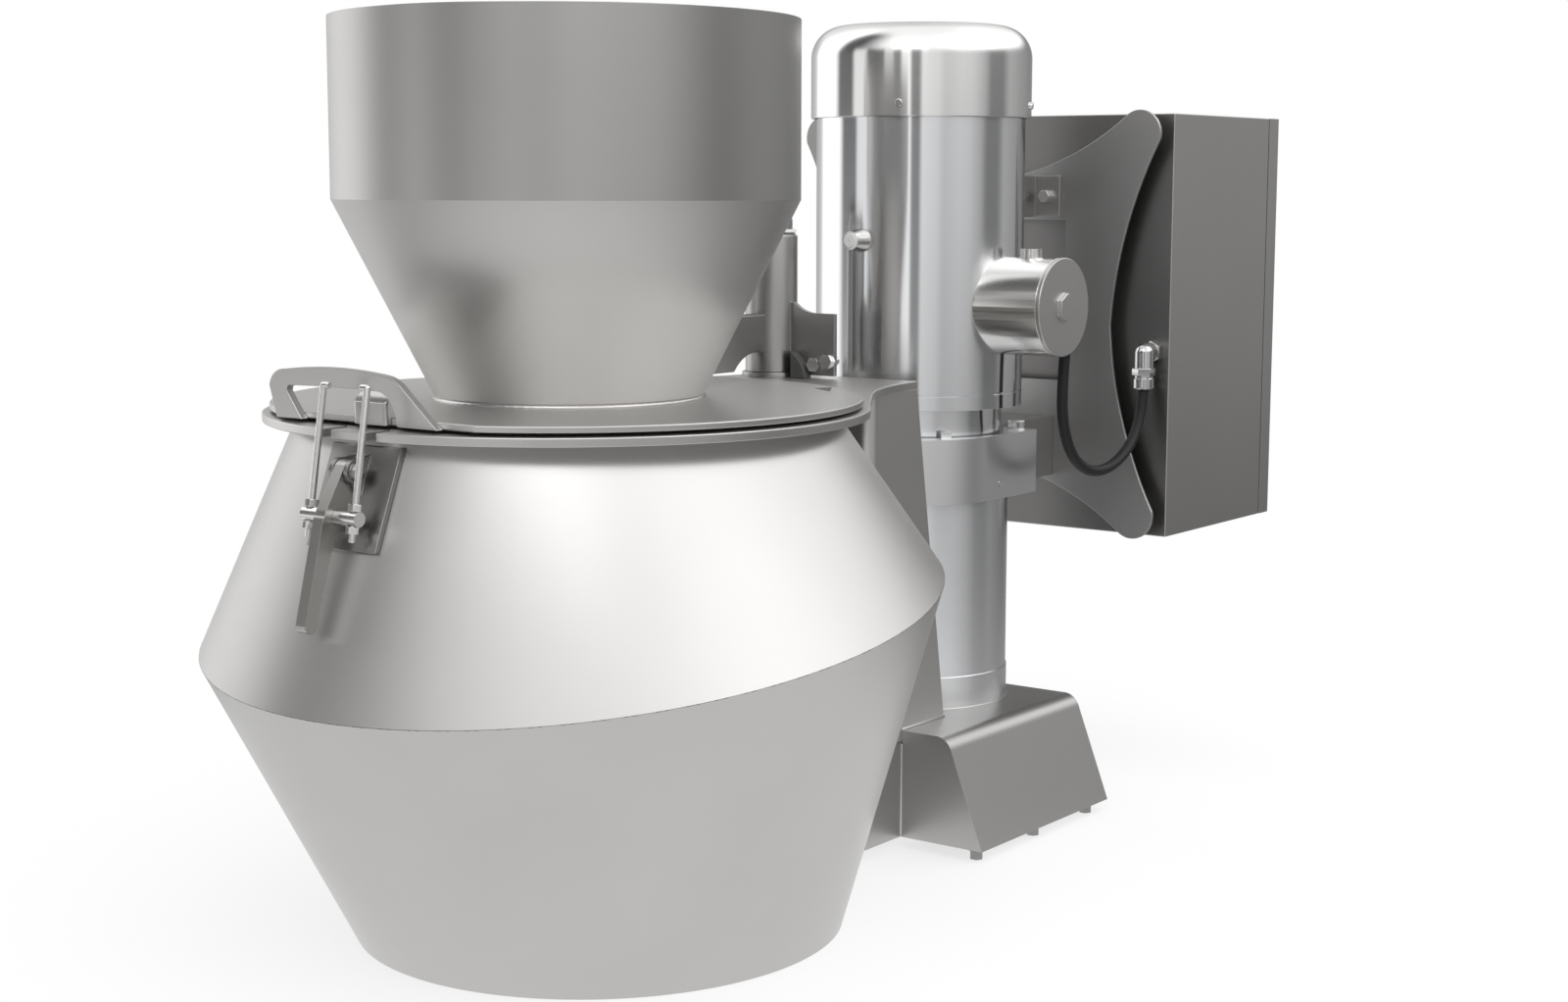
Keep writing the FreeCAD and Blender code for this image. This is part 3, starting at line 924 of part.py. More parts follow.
leg = Part.makeCylinder(size("gland_r"), leg_top.z - inlet.z - nut_h, inlet + Vector(0, 0, nut_h))
knee = Part.makeSphere(size("gland_r"), leg_top)
reach_back = rod(size("gland_r"), leg_top, Vector(inlet.x, size("head_y + cab_y"), leg_top.z))
wall_nut = hexagon(size("gland_nut"), size("lock_nut_h"),
                   Vector(inlet.x, size("head_y + cab_y - lock_nut_h"), leg_top.z), Vector(0, 1, 0))
keep("cabinet_gland", feature("cabinet_gland", lower_nut.fuse(
    [leg, knee, reach_back, wall_nut]).removeSplitter().cut(cable)))

# Cabinet: a steel box, its rear door and locks, and the waisted plate that carries it on the column.
cab_shell = box("cab_shell", ("cab_x", "head_y + cab_y", "cab_low"), "cab_wide", "cab_deep", "cab_high")
cab_void = box("cab_void", ("cab_x + cab_wall", "head_y + cab_y + cab_wall", "cab_low + cab_wall"),
               "cab_wide - 2 * cab_wall", "cab_deep", "cab_high - 2 * cab_wall")
keep("cabinet_box", cut("cabinet_box", cab_shell, cab_void))
door_shell = box("door_shell", ("cab_x", "door_y", "cab_low"), "cab_wide", "door_deep", "cab_high")
door_void = box("door_void", ("cab_x + door_wall", "door_y", "cab_low + door_wall"),
                "cab_wide - 2 * door_wall", "door_deep - door_wall", "cab_high - 2 * door_wall")
lock_place = ("cab_x + cab_wide - lock_in", "door_y", "cab_low + cab_high / 2")
lock_hole = cylinder("lock_hole", lock_place, "lock_r + fit_gap", "door_deep", (1, 0, 0), -90)
knuckles, hinge_solids = [], []
for number, share in enumerate(("0.16", "0.84")):
    foot = "cab_low + cab_high * %s" % share
    axle = ("cab_x - barrel_off", "door_y", foot)
    barrel = cylinder("door_barrel_%d" % number, axle, "barrel_r", "barrel_h")
    tab = box("door_tab_%d" % number, axle, "barrel_off", "leaf_wide", "barrel_h")
    bore = cylinder("door_bore_%d" % number, axle, "barrel_pin + fit_gap", "barrel_h")
    knuckles.append(cut("knuckle_%d" % number, fuse("knuckle_blank_%d" % number, barrel, tab), bore))
    axle = ("cab_x - barrel_off", "door_y", foot + " - barrel_h - part_gap")
    post = cylinder("fixed_barrel_%d" % number, axle, "barrel_r", "barrel_h")
    pin = cylinder("hinge_pin_%d" % number, axle, "barrel_pin", "2 * barrel_h + part_gap")
    leaf = box("fixed_leaf_%d" % number, ("cab_x - leaf_wall", "door_y - door_gap - leaf_wide", axle[2]),
               "leaf_wall", "leaf_wide", "barrel_h")
    neck = box("fixed_neck_%d" % number, ("cab_x - barrel_off", "door_y - barrel_r", axle[2]), "barrel_off",
               "barrel_r - door_gap", "barrel_h")
    hinge_solids.append(fuse("door_hinge_%d" % number, post, pin, leaf, neck))
keep("door_hinges", group("door_hinges", hinge_solids))
keep("cabinet_door", fuse("cabinet_door", cut("door_shell_open", door_shell, door_void, lock_hole),
                          *knuckles))
lock_body = cylinder("lock_body", lock_place, "lock_r", "door_deep", (1, 0, 0), -90)
lock_face = cylinder("lock_face", (lock_place[0], "door_y + door_deep", lock_place[2]), "lock_r + lock_rim",
                     "lock_lip", (1, 0, 0), -90)
lock_slot = box("lock_slot", (lock_place[0] + " - lock_slot / 2", "door_y + door_deep + lock_lip - slot_deep",
                              lock_place[2] + " - slot_long / 2"), "lock_slot", "slot_deep", "slot_long")
lock_cam = box("lock_cam", (lock_place[0] + " - lock_r / 2", "door_y + cam_wall",
                            lock_place[2] + " - cam_long"), "lock_r", "cam_wall", "cam_long")
keep("door_lock", cut("door_lock", fuse("lock_blank", lock_body, lock_face, lock_cam), lock_slot))

# Control gear on its panel inside the cabinet: a motor drive, a contactor row, terminals and a transformer.
panel_y = "head_y + cab_y + cab_wall + panel_off"
gear_y = panel_y + " + panel_wall"
gear = [box("gear_panel", ("cab_x + panel_in", panel_y, "cab_low + panel_in"), "cab_wide - 2 * panel_in",
            "panel_wall", "cab_high - 2 * panel_in")]
for number in range(4):
    gear.append(cylinder("panel_stud_%d" % number,
                         ("cab_x + 3 * panel_in + %d * (cab_wide - 6 * panel_in)" % (number % 2),
                          "head_y + cab_y + cab_wall",
                          "cab_low + 3 * panel_in + %d * (cab_high - 6 * panel_in)" % (number // 2)),
                         "stud_r", "panel_off", (1, 0, 0), -90))
gear.append(box("motor_drive", ("cab_x + drive_x", gear_y, "cab_low + drive_z"), "drive_wide", "drive_deep",
                "drive_tall"))
gear.append(box("transformer", ("cab_x + core_x", gear_y, "cab_low + core_z"), "core_wide", "core_deep",
                "core_tall"))
for rail in ("upper_rail", "lower_rail"):
    gear.append(box(rail, ("cab_x + rail_in", gear_y, "cab_low + %s_z" % rail), "cab_wide - 2 * rail_in",
                    "rail_deep", "rail_tall"))
for device, rail in (("device", "upper_rail"), ("block", "lower_rail")):
    for number in range(int(size(device + "_count"))):
        gear.append(box("%s_%d" % (device, number),
                        ("cab_x + gear_x + %d * %s_pitch" % (number, device), gear_y + " + rail_deep",
                         "cab_low + %s_z + (rail_tall - %s_tall) / 2" % (rail, device)),
                        device + "_wide", device + "_deep", device + "_tall"))
keep("control_gear", group("control_gear", gear))

# Plate with a waist and four round ears, on spacers in front of the cabinet.
ear_top, ear_side = "plate_half - ear_in", "plate_rise - ear_down"
x_plate = plate("x_plate", "XZ_Plane", [
    (ear_top, "plate_rise", "plate_ear", -1), ("plate_half", ear_side, "plate_flank", 1),
    ("plate_waist", 0, "plate_flank", 1), ("plate_half", "-(%s)" % ear_side, "plate_ear", -1),
    (ear_top, "-plate_rise", "plate_crown", 1), ("-(%s)" % ear_top, "-plate_rise", "plate_ear", -1),
    ("-plate_half", "-(%s)" % ear_side, "plate_flank", 1), ("-plate_waist", 0, "plate_flank", 1),
    ("-plate_half", ear_side, "plate_ear", -1), ("-(%s)" % ear_top, "plate_rise", "plate_crown", 1)],
    "plate_wall", ("plate_x", "head_y + plate_y + plate_wall", "plate_z"))
window = box("plate_opening", ("plate_x - plate_window", "head_y + plate_y", "window_low"),
             "2 * plate_window", "plate_wall", "window_high - window_low")
spacers = [cylinder("spacer_%d%d" % (sx > 0, sz > 0),
                    ("plate_x + %d * (plate_half - spacer_in)" % sx, "head_y + plate_y + plate_wall",
                     "plate_z + %d * (plate_rise - spacer_in)" % sz),
                    "spacer_r", "cab_off - plate_wall", (1, 0, 0), -90) for sx in (1, -1) for sz in (1, -1)]
keep("cabinet_plate", fuse("cabinet_plate", cut("x_plate_open", x_plate, window), *spacers))

# Bracket: a strap across the plate above its window on an arm from the motor, and a stay from the clamp.
strap = box("strap", ("-strap_x", "head_y + plate_y - strap_wall", "strap_low"), "2 * strap_x", "strap_wall",
            "strap_tall")
strap_arm = box("strap_arm_block", ("-strap_arm / 2", "motor_y", "strap_low"), "strap_arm",
                "plate_reach - strap_wall", "strap_tall")
stay = box("stay_block", ("-stay_half", "head_y + clamp_rear", "clamp_low"), "2 * stay_half",
           "plate_y - clamp_rear", "clamp_tall")
column_core = cylinder("column_core", (0, "motor_y", "clamp_low"), "column_r", "clamp_tall")
keep("cabinet_bracket", group("cabinet_bracket", [
    fuse("upper_bracket", strap, cut("arm_trimmed", strap_arm, motor_core)), cut("stay", stay, column_core)]))
bolts = []
back = Vector(0, 1, 0)
for side in (1, -1):
    foot = Vector(side * size("strap_x - strap_bolt_in"), size("head_y + plate_y - strap_wall"),
                  size("strap_low + strap_tall / 2"))
    bolts.append(hexagon(size("strap_bolt_r"), size("strap_bolt_r"), foot - back * size("strap_bolt_r"),
                         back))
    foot = Vector(side * size("clamp_half - clamp_bolt_in"), size("head_y + clamp_rear - clamp_bolt_aft"),
                  size("clamp_top"))
    bolts.append(hexagon(size("clamp_bolt_r"), size("clamp_bolt_h"), foot))
keep("motor_bolts", feature("motor_bolts", Part.makeCompound(cap_screws + bolts)))

doc.recompute()
for item in doc.Objects:
    if "Invalid" in item.State or "Error" in item.State:
        raise RuntimeError("%s did not rebuild: %s" % (item.Name, item.State))
for item in PARTS:
    if item.Shape.isNull() or not item.Shape.isValid() or not item.Shape.Solids:
        raise RuntimeError("%s has no sound solid" % item.Label)

os.makedirs("parts", exist_ok=True)
for item in PARTS:
    item.Shape.exportStep("parts/%s.step" % item.Label)
print("%d parts" % len(PARTS))
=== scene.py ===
import json
import math

import bpy
from mathutils import Matrix, Vector

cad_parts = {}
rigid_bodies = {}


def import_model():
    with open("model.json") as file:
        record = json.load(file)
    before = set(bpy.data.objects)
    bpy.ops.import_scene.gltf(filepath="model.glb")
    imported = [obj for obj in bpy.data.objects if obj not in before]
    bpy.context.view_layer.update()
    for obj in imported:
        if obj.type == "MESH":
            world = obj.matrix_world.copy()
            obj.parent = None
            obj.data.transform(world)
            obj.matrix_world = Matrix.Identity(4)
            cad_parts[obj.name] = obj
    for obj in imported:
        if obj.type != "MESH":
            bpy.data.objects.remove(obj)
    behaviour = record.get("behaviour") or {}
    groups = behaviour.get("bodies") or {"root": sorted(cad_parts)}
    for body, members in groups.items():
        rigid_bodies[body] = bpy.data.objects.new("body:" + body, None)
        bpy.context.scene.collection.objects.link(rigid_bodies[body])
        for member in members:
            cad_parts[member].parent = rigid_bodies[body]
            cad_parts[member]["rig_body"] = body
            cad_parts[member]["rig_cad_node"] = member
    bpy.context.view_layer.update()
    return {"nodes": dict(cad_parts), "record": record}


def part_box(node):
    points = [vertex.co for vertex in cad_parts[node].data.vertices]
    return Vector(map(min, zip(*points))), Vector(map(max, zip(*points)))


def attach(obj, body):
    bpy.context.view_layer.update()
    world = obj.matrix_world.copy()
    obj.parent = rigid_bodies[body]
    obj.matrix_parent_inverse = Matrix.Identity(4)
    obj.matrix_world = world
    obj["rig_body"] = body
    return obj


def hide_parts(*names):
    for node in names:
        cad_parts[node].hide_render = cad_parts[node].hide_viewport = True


# Centrifugal cheese grater in stainless steel: a tilted discharge hood with its feed hopper and hinged lid,
# a belt arm back to a column with the motor on top, and a control cabinet behind. Everything is in metres.
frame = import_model()

# Camera: a portrait lens at chest height, to the right of the machine's front. It looks slightly down, and
# its place comes from the machine's outlines in the photograph.
camera_place = Vector((1.46704, -2.04168, 0.71098))
camera_down = math.radians(7.64)
camera_turn = math.radians(36.48)
camera_roll = math.radians(-0.12)
camera_lens = 53.76
camera = bpy.data.objects.new("camera", bpy.data.cameras.new("camera"))
bpy.context.scene.collection.objects.link(camera)
camera.data.lens = camera_lens
camera.matrix_world = (Matrix.Translation(camera_place) @ Matrix.Rotation(camera_turn, 4, "Z")
                       @ Matrix.Rotation(math.pi / 2 - camera_down, 4, "X")
                       @ Matrix.Rotation(-camera_roll, 4, "Z"))
bpy.context.scene.camera = camera
bpy.context.scene.view_settings.view_transform = "Standard"

# Studio: pale panels with darker gaps between them stand all round the machine, because polished steel shows
# what is round it. A panel is its angle from the camera's side of the machine, to the right, and its
# brightness. An edge between two rings of panels is a pair of angles of height.
wall_panels = ((-180, 0.40), (-160, 0.50), (-146, 0.70), (-137, 1.50), (-106, 1.50), (-101, 0.95),
               (-97, 0.12), (-80, 0.12), (-76, 0.98), (-64, 0.98), (-60, 0.10), (-43, 0.10), (-41, 0.85),
               (-33, 0.85), (-31, 0.15), (-25, 0.15), (-23, 1.25), (-15, 1.25), (-13, 0.12), (-5, 0.12),
               (-2, 0.92), (14, 0.85), (22, 0.66), (40, 0.74), (52, 0.68), (66, 0.44), (74, 0.18),
               (90, 0.20), (101, 0.46), (124, 0.36), (150, 0.26), (179, 0.36))
high_panels = ((-180, 0.70), (-150, 1.00), (-130, 1.70), (-106, 1.95), (-95, 0.08), (-76, 0.05), (-60, 0.60),
               (-46, 1.20), (-20, 1.35), (12, 1.32), (45, 2.05), (75, 2.20), (100, 1.75), (130, 1.70),
               (160, 0.90), (179, 0.70))
foot_panels = ((-180, 0.45), (-130, 1.00), (-100, 1.05), (-60, 0.95), (-15, 0.72), (0, 0.40), (20, 0.22),
               (50, 0.18), (80, 0.14), (110, 0.14), (140, 0.16), (160, 0.30), (179, 0.42))
ceiling_light = 1.15
ground_light = 0.42
foot_edge = (-34, -22)
wall_edge = (-7, -4)
high_edge = (12, 24)
ceiling_edge = (56, 74)
first_colour = 6
second_colour = 7
mixed_colour = 2


def join(tree, source, target):
    """Links an output of a node tree to an input."""
    tree.links.new(source, target)


def computed(tree, operation, first, second):
    """The result of a math operation on two outputs."""
    step = tree.nodes.new("ShaderNodeMath")
    step.operation = operation
    join(tree, first, step.inputs[0])
    join(tree, second, step.inputs[1])
    return step.outputs["Value"]


def eased(tree, value, start, end, low=0.0, high=1.0):
    """A level that goes softly from low to high while a value goes from start to end."""
    change = tree.nodes.new("ShaderNodeMapRange")
    change.interpolation_type = "SMOOTHSTEP"
    for socket, number in (("From Min", start), ("From Max", end), ("To Min", low), ("To Max", high)):
        change.inputs[socket].default_value = number
    join(tree, value, change.inputs["Value"])
    return change.outputs["Result"]


def either(tree, share, first, second):
    """Two shaders, mixed by a share that is 0 for the first and 1 for the second."""
    mix = tree.nodes.new("ShaderNodeMixShader")
    for source, socket in zip((share, first, second), mix.inputs):
        join(tree, source, socket)
    return mix.outputs["Shader"]


def panel_ramp(tree, turn, panels):
    """The brightness of a ring of panels; turn runs once from 0 to 1 round the machine."""
    ramp = tree.nodes.new("ShaderNodeValToRGB")
    stops = ramp.color_ramp.elements
    for stop, (angle, level) in zip(stops, (panels[0], panels[-1])):
        stop.position = (angle + 180) / 360
        stop.color = (level, level, level, 1)
    for angle, level in panels[1:-1]:
        stop = stops.new((angle + 180) / 360)
        stop.color = (level, level, level, 1)
    join(tree, turn, ramp.inputs["Fac"])
    return ramp.outputs["Color"]


def band(tree, lower, upper, height, edge):
    """One ring of panels, or one plain level, above another, mixed over the edge between them."""
    mix = tree.nodes.new("ShaderNodeMix")
    mix.data_type = "RGBA"
    start, end = [math.sin(math.radians(angle)) for angle in edge]
    join(tree, eased(tree, height, start, end), mix.inputs["Factor"])
    for value, socket in ((lower, mix.inputs[first_colour]), (upper, mix.inputs[second_colour])):
        if isinstance(value, float):
            socket.default_value = (value, value, value, 1)
        else:
            join(tree, value, socket)
    return mix.outputs[mixed_colour]


world = bpy.data.worlds.new("studio")
bpy.context.scene.world = world
world.use_nodes = True
studio = world.node_tree
studio.nodes.clear()
direction = studio.nodes.new("ShaderNodeTexCoord")
from_camera = studio.nodes.new("ShaderNodeMapping")
from_camera.inputs["Rotation"].default_value = (0, 0, math.pi / 2 - camera_turn)
join(studio, direction.outputs["Generated"], from_camera.inputs["Vector"])
axes = studio.nodes.new("ShaderNodeSeparateXYZ")
join(studio, from_camera.outputs["Vector"], axes.inputs["Vector"])
turn = studio.nodes.new("ShaderNodeMapRange")
turn.inputs["From Min"].default_value = -math.pi
turn.inputs["From Max"].default_value = math.pi
join(studio, computed(studio, "ARCTAN2", axes.outputs["Y"], axes.outputs["X"]), turn.inputs["Value"])
foot_ring, wall_ring, high_ring = [panel_ramp(studio, turn.outputs["Result"], panels)
                                   for panels in (foot_panels, wall_panels, high_panels)]
room = ground_light
for upper, edge in ((foot_ring, foot_edge), (wall_ring, wall_edge), (high_ring, high_edge),
                    (ceiling_light, ceiling_edge)):
    room = band(studio, room, upper, axes.outputs["Z"], edge)
lighting = studio.nodes.new("ShaderNodeBackground")
join(studio, room, lighting.inputs["Color"])
white = studio.nodes.new("ShaderNodeBackground")
white.inputs["Color"].default_value = (1, 1, 1, 1)
path = studio.nodes.new("ShaderNodeLightPath")
surround = either(studio, path.outputs["Is Camera Ray"], lighting.outputs["Background"],
                  white.outputs["Background"])
join(studio, surround, studio.nodes.new("ShaderNodeOutputWorld").inputs["Surface"])

# Floor: a pale disc that fades to white before its edge, so that the picture shows no horizon, and still
# takes the machine's shadow. In the steel it is bright near the hood and darker further off.
floor_radius = 1.45
floor_drop = 0.0006
floor_white = 0.92
shadow_share = 0.72
fade_start = 0.55
fade_end = 1.30
near_shine = 1.0
far_shine = 0.32
dim_start = 0.60
dim_end = 1.15
bpy.ops.object.select_all(action="DESELECT")
bpy.ops.mesh.primitive_circle_add(vertices=96, radius=floor_radius, fill_type="NGON",
                                  location=(0, 0, -floor_drop))
floor = bpy.context.object
floor.name = "floor"
paint = bpy.data.materials.new("floor_white")
paint.use_nodes = True
coat = paint.node_tree
coat.nodes.clear()
where = coat.nodes.new("ShaderNodeTexCoord")
from_middle = coat.nodes.new("ShaderNodeVectorMath")
from_middle.operation = "LENGTH"
join(coat, where.outputs["Object"], from_middle.inputs[0])
fade = eased(coat, from_middle.outputs["Value"], fade_start, fade_end, shadow_share)
from_hood = coat.nodes.new("ShaderNodeVectorMath")
from_hood.operation = "DISTANCE"
from_hood.inputs[1].default_value = (0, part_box("spindle_shaft")[0].y, 0)
join(coat, where.outputs["Object"], from_hood.inputs[0])
shine = coat.nodes.new("ShaderNodeEmission")
join(coat, eased(coat, from_hood.outputs["Value"], dim_start, dim_end, near_shine, far_shine),
     shine.inputs["Strength"])
matt = coat.nodes.new("ShaderNodeBsdfDiffuse")
matt.inputs["Color"].default_value = (floor_white, floor_white, floor_white, 1)
glow = coat.nodes.new("ShaderNodeEmission")
path = coat.nodes.new("ShaderNodeLightPath")
in_view = computed(coat, "MULTIPLY", path.outputs["Is Camera Ray"], fade)
reflected = computed(coat, "MAXIMUM", path.outputs["Is Glossy Ray"], path.outputs["Is Transmission Ray"])
plain_floor = either(coat, in_view, matt.outputs["BSDF"], glow.outputs["Emission"])
whole_floor = either(coat, reflected, plain_floor, shine.outputs["Emission"])
join(coat, whole_floor, coat.nodes.new("ShaderNodeOutputMaterial").inputs["Surface"])
floor.data.materials.append(paint)

# Lamp: one large soft panel high in front of the machine, a little to the left of the camera. It is weak
# beside the studio's panels, and adds a soft shadow on the floor.
lamp_aim = Vector((0, -0.2, 0.4))
lamp_lift = math.radians(42)
lamp_turn = camera_turn - math.radians(12)
lamp_far = 3.0
lamp_wide = 1.9
lamp_tall = 1.1
lamp_watts = 9
lamp = bpy.data.objects.new("front_panel", bpy.data.lights.new("front_panel", "AREA"))
bpy.context.scene.collection.objects.link(lamp)
lamp.data.shape = "RECTANGLE"
lamp.data.size = lamp_wide
lamp.data.size_y = lamp_tall
lamp.data.energy = lamp_watts
lamp_way = Vector((math.sin(lamp_turn) * math.cos(lamp_lift), -math.cos(lamp_turn) * math.cos(lamp_lift),
                   math.sin(lamp_lift)))
lamp.location = lamp_aim + lamp_way * lamp_far
lamp.rotation_euler = lamp_way.to_track_quat("Z", "Y").to_euler()

# Discharge hood: two thin cones of stainless sheet, rolled, welded to each other at a tilted seam, and cut
# level where they meet the table plate and the floor. The lower one is cut out at its back for the belt arm.
head_y = (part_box("spindle_shaft")[0].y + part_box("spindle_shaft")[1].y) / 2
table_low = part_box("table_plate")[0].z
arm_low, arm_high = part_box("belt_housing")
hood_tilt = math.radians(8.3)
seam_radius = 0.352
seam_back = 0.0053
seam_high = 0.3192
seam_place = Vector((0, head_y + seam_back, seam_high))
seam_thick = 0.0006
upper_slope = 29.3
upper_run = 0.26
lower_slope = 19.9
lower_run = 0.40
sheet_wall = 0.003
arm_gap = 0.0003
cut_over = 0.01


def noise(tree, place, scale, detail):
    """The strength of a noise pattern at a place."""
    pattern = tree.nodes.new("ShaderNodeTexNoise")
    pattern.inputs["Scale"].default_value = scale
    pattern.inputs["Detail"].default_value = detail
    join(tree, place, pattern.inputs["Vector"])
    return pattern.outputs["Fac"]


def coloured(tree, shader, colour, play, pattern):
    """Gives a shader a colour that a pattern makes darker and lighter by a share."""
    tone = tree.nodes.new("ShaderNodeMix")
    tone.data_type = "RGBA"
    tone.inputs[first_colour].default_value = (*[part * (1 - play) for part in colour], 1)
    tone.inputs[second_colour].default_value = (*[part * (1 + play) for part in colour], 1)
    join(tree, pattern, tone.inputs["Factor"])
    join(tree, tone.outputs[mixed_colour], shader.inputs["Base Color"])


def roughened(tree, shader, rough, play, pattern):
    """Gives a shader a roughness that a pattern lowers and raises by a share."""
    finish = tree.nodes.new("ShaderNodeMapRange")
    finish.inputs["To Min"].default_value = rough * (1 - play)
    finish.inputs["To Max"].default_value = rough * (1 + play)
    join(tree, pattern, finish.inputs["Value"])
    join(tree, finish.outputs["Result"], shader.inputs["Roughness"])


def grained(tree, shader, strength, pattern):
    """Gives a shader a very low relief from a pattern."""
    depth = 0.0002
    relief = tree.nodes.new("ShaderNodeBump")
    relief.inputs["Strength"].default_value = strength
    relief.inputs["Distance"].default_value = depth
    join(tree, pattern, relief.inputs["Height"])
    join(tree, relief.outputs["Normal"], shader.inputs["Normal"])


def steel(name, tint, rough, grain, cloud=0.05, scratch=0.0, spread=0.0, lay=0.0, axis="Z"):
    """Stainless steel: a tone with soft clouds, and a roughness that varies with its fine grain lines.

    grain gives the pattern's scale along X, Y and Z; the lines run along the axis with the smallest one.
    spread draws highlights out round the axis, and with a lay of 0.25 along it, as a turned surface does.
    """
    made = bpy.data.materials.new(name)
    made.use_nodes = True
    tree = made.node_tree
    shader = tree.nodes["Principled BSDF"]
    shader.inputs["Metallic"].default_value = 1.0
    if spread:
        shader.inputs["Anisotropic"].default_value = spread
        shader.inputs["Anisotropic Rotation"].default_value = lay
        around = tree.nodes.new("ShaderNodeTangent")
        around.direction_type = "RADIAL"
        around.axis = axis
        join(tree, around.outputs["Tangent"], shader.inputs["Tangent"])
    where = tree.nodes.new("ShaderNodeTexCoord")
    stretch = tree.nodes.new("ShaderNodeMapping")
    stretch.inputs["Scale"].default_value = grain
    join(tree, where.outputs["Object"], stretch.inputs["Vector"])
    lines = noise(tree, stretch.outputs["Vector"], scale=1.0, detail=4.0)
    clouds = noise(tree, where.outputs["Object"], scale=7.0, detail=3.0)
    coloured(tree, shader, tint, cloud, clouds)
    roughened(tree, shader, rough, play=0.08, pattern=lines)
    if scratch:
        grained(tree, shader, scratch, lines)
    return made


def work_on(piece):
    """Leaves only this piece selected and active."""
    bpy.ops.object.select_all(action="DESELECT")
    bpy.context.view_layer.objects.active = piece
    piece.select_set(True)


def drawn_round(name, corners, centre, steps, closed=True):
    """A turned piece: a circle at the first corner, extruded from corner to corner of (radius, height)."""
    bpy.ops.object.select_all(action="DESELECT")
    x, y = centre
    radius, level = corners[0]
    bpy.ops.mesh.primitive_circle_add(vertices=steps, radius=radius, location=(x, y, level))
    piece = bpy.context.object
    piece.name = name
    bpy.ops.object.transform_apply()
    bpy.ops.object.mode_set(mode="EDIT")
    bpy.ops.mesh.select_all(action="SELECT")
    for next_radius, next_level in corners[1:]:
        bpy.ops.mesh.extrude_region_move(TRANSFORM_OT_translate={"value": (0, 0, next_level - level)})
        if next_radius != radius:
            share = next_radius / radius
            bpy.ops.transform.resize(value=(share, share, 1), center_override=(x, y, next_level))
        radius, level = next_radius, next_level
    if closed:
        bpy.ops.mesh.select_all(action="DESELECT")
        bpy.ops.mesh.select_mode(type="EDGE")
        bpy.ops.mesh.select_non_manifold()
        bpy.ops.mesh.bridge_edge_loops()
        bpy.ops.mesh.select_mode(type="VERT")
    bpy.ops.mesh.select_all(action="SELECT")
    bpy.ops.mesh.normals_make_consistent(inside=False)
    bpy.ops.object.mode_set(mode="OBJECT")
    return piece


def modified(piece, kind, **settings):
    """Adds a modifier and applies it."""
    work_on(piece)
    change = piece.modifiers.new(kind.lower(), kind)
    for key, value in settings.items():
        setattr(change, key, value)
    bpy.ops.object.modifier_apply(modifier=change.name)


def rounded(piece, edge, segments=2, angle=32, smooth=16):
    """Breaks a piece's sharp edges with a bevel as wide as edge says and shades its curved faces smooth."""
    if edge:
        modified(piece, "BEVEL", width=edge, segments=segments, limit_method="ANGLE",
                 angle_limit=math.radians(angle))
    bpy.ops.object.shade_smooth_by_angle(angle=math.radians(smooth))


def fitted(piece, material, body, slot, *stands_for):
    """Gives a finished piece its material and the body it moves with, and hides the nodes it stands for; slot
    is not used.
    """
    piece.data.materials.clear()
    piece.data.materials.append(material)
    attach(piece, body)
    if stands_for:
        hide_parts(*stands_for)
    return piece


def block(name, low, high):
    """A plain block between two corners, kept only as a cutter."""
    bpy.ops.object.select_all(action="DESELECT")
    bpy.ops.mesh.primitive_cube_add(size=1, location=[(a + b) / 2 for a, b in zip(low, high)],
                                    scale=[b - a for a, b in zip(low, high)])
    made = bpy.context.object
    made.name = name
    bpy.ops.object.transform_apply()
    return made


def carved(piece, cutter):
    """Cuts the cutter out of a piece and removes it."""
    modified(piece, "BOOLEAN", operation="DIFFERENCE", object=cutter, solver="EXACT")
    bpy.data.objects.remove(cutter)


def bead(name, centre, radius, level, thick, body, material):
    """A weld bead laid round a joint between two round pieces, with the ripples of its passes."""
    rings = 288
    corners = 10
    ripple_rings = 3
    ripple_depth = 0.09 * thick
    bpy.ops.object.select_all(action="DESELECT")
    bpy.ops.mesh.primitive_torus_add(major_radius=radius, minor_radius=thick, major_segments=rings,
                                     minor_segments=corners, location=(*centre, level))
    made = bpy.context.object
    made.name = name
    bpy.ops.object.mode_set(mode="EDIT")
    bpy.ops.mesh.select_all(action="DESELECT")
    bpy.ops.object.mode_set(mode="OBJECT")
    for vertex in made.data.vertices:
        vertex.select = vertex.index // corners % ripple_rings == 0
    bpy.ops.object.mode_set(mode="EDIT")
    bpy.ops.transform.shrink_fatten(value=-ripple_depth)
    bpy.ops.object.mode_set(mode="OBJECT")
    bpy.ops.object.transform_apply()
    bpy.ops.object.shade_smooth()
    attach(made, body)
    made.data.materials.append(material)
    return made


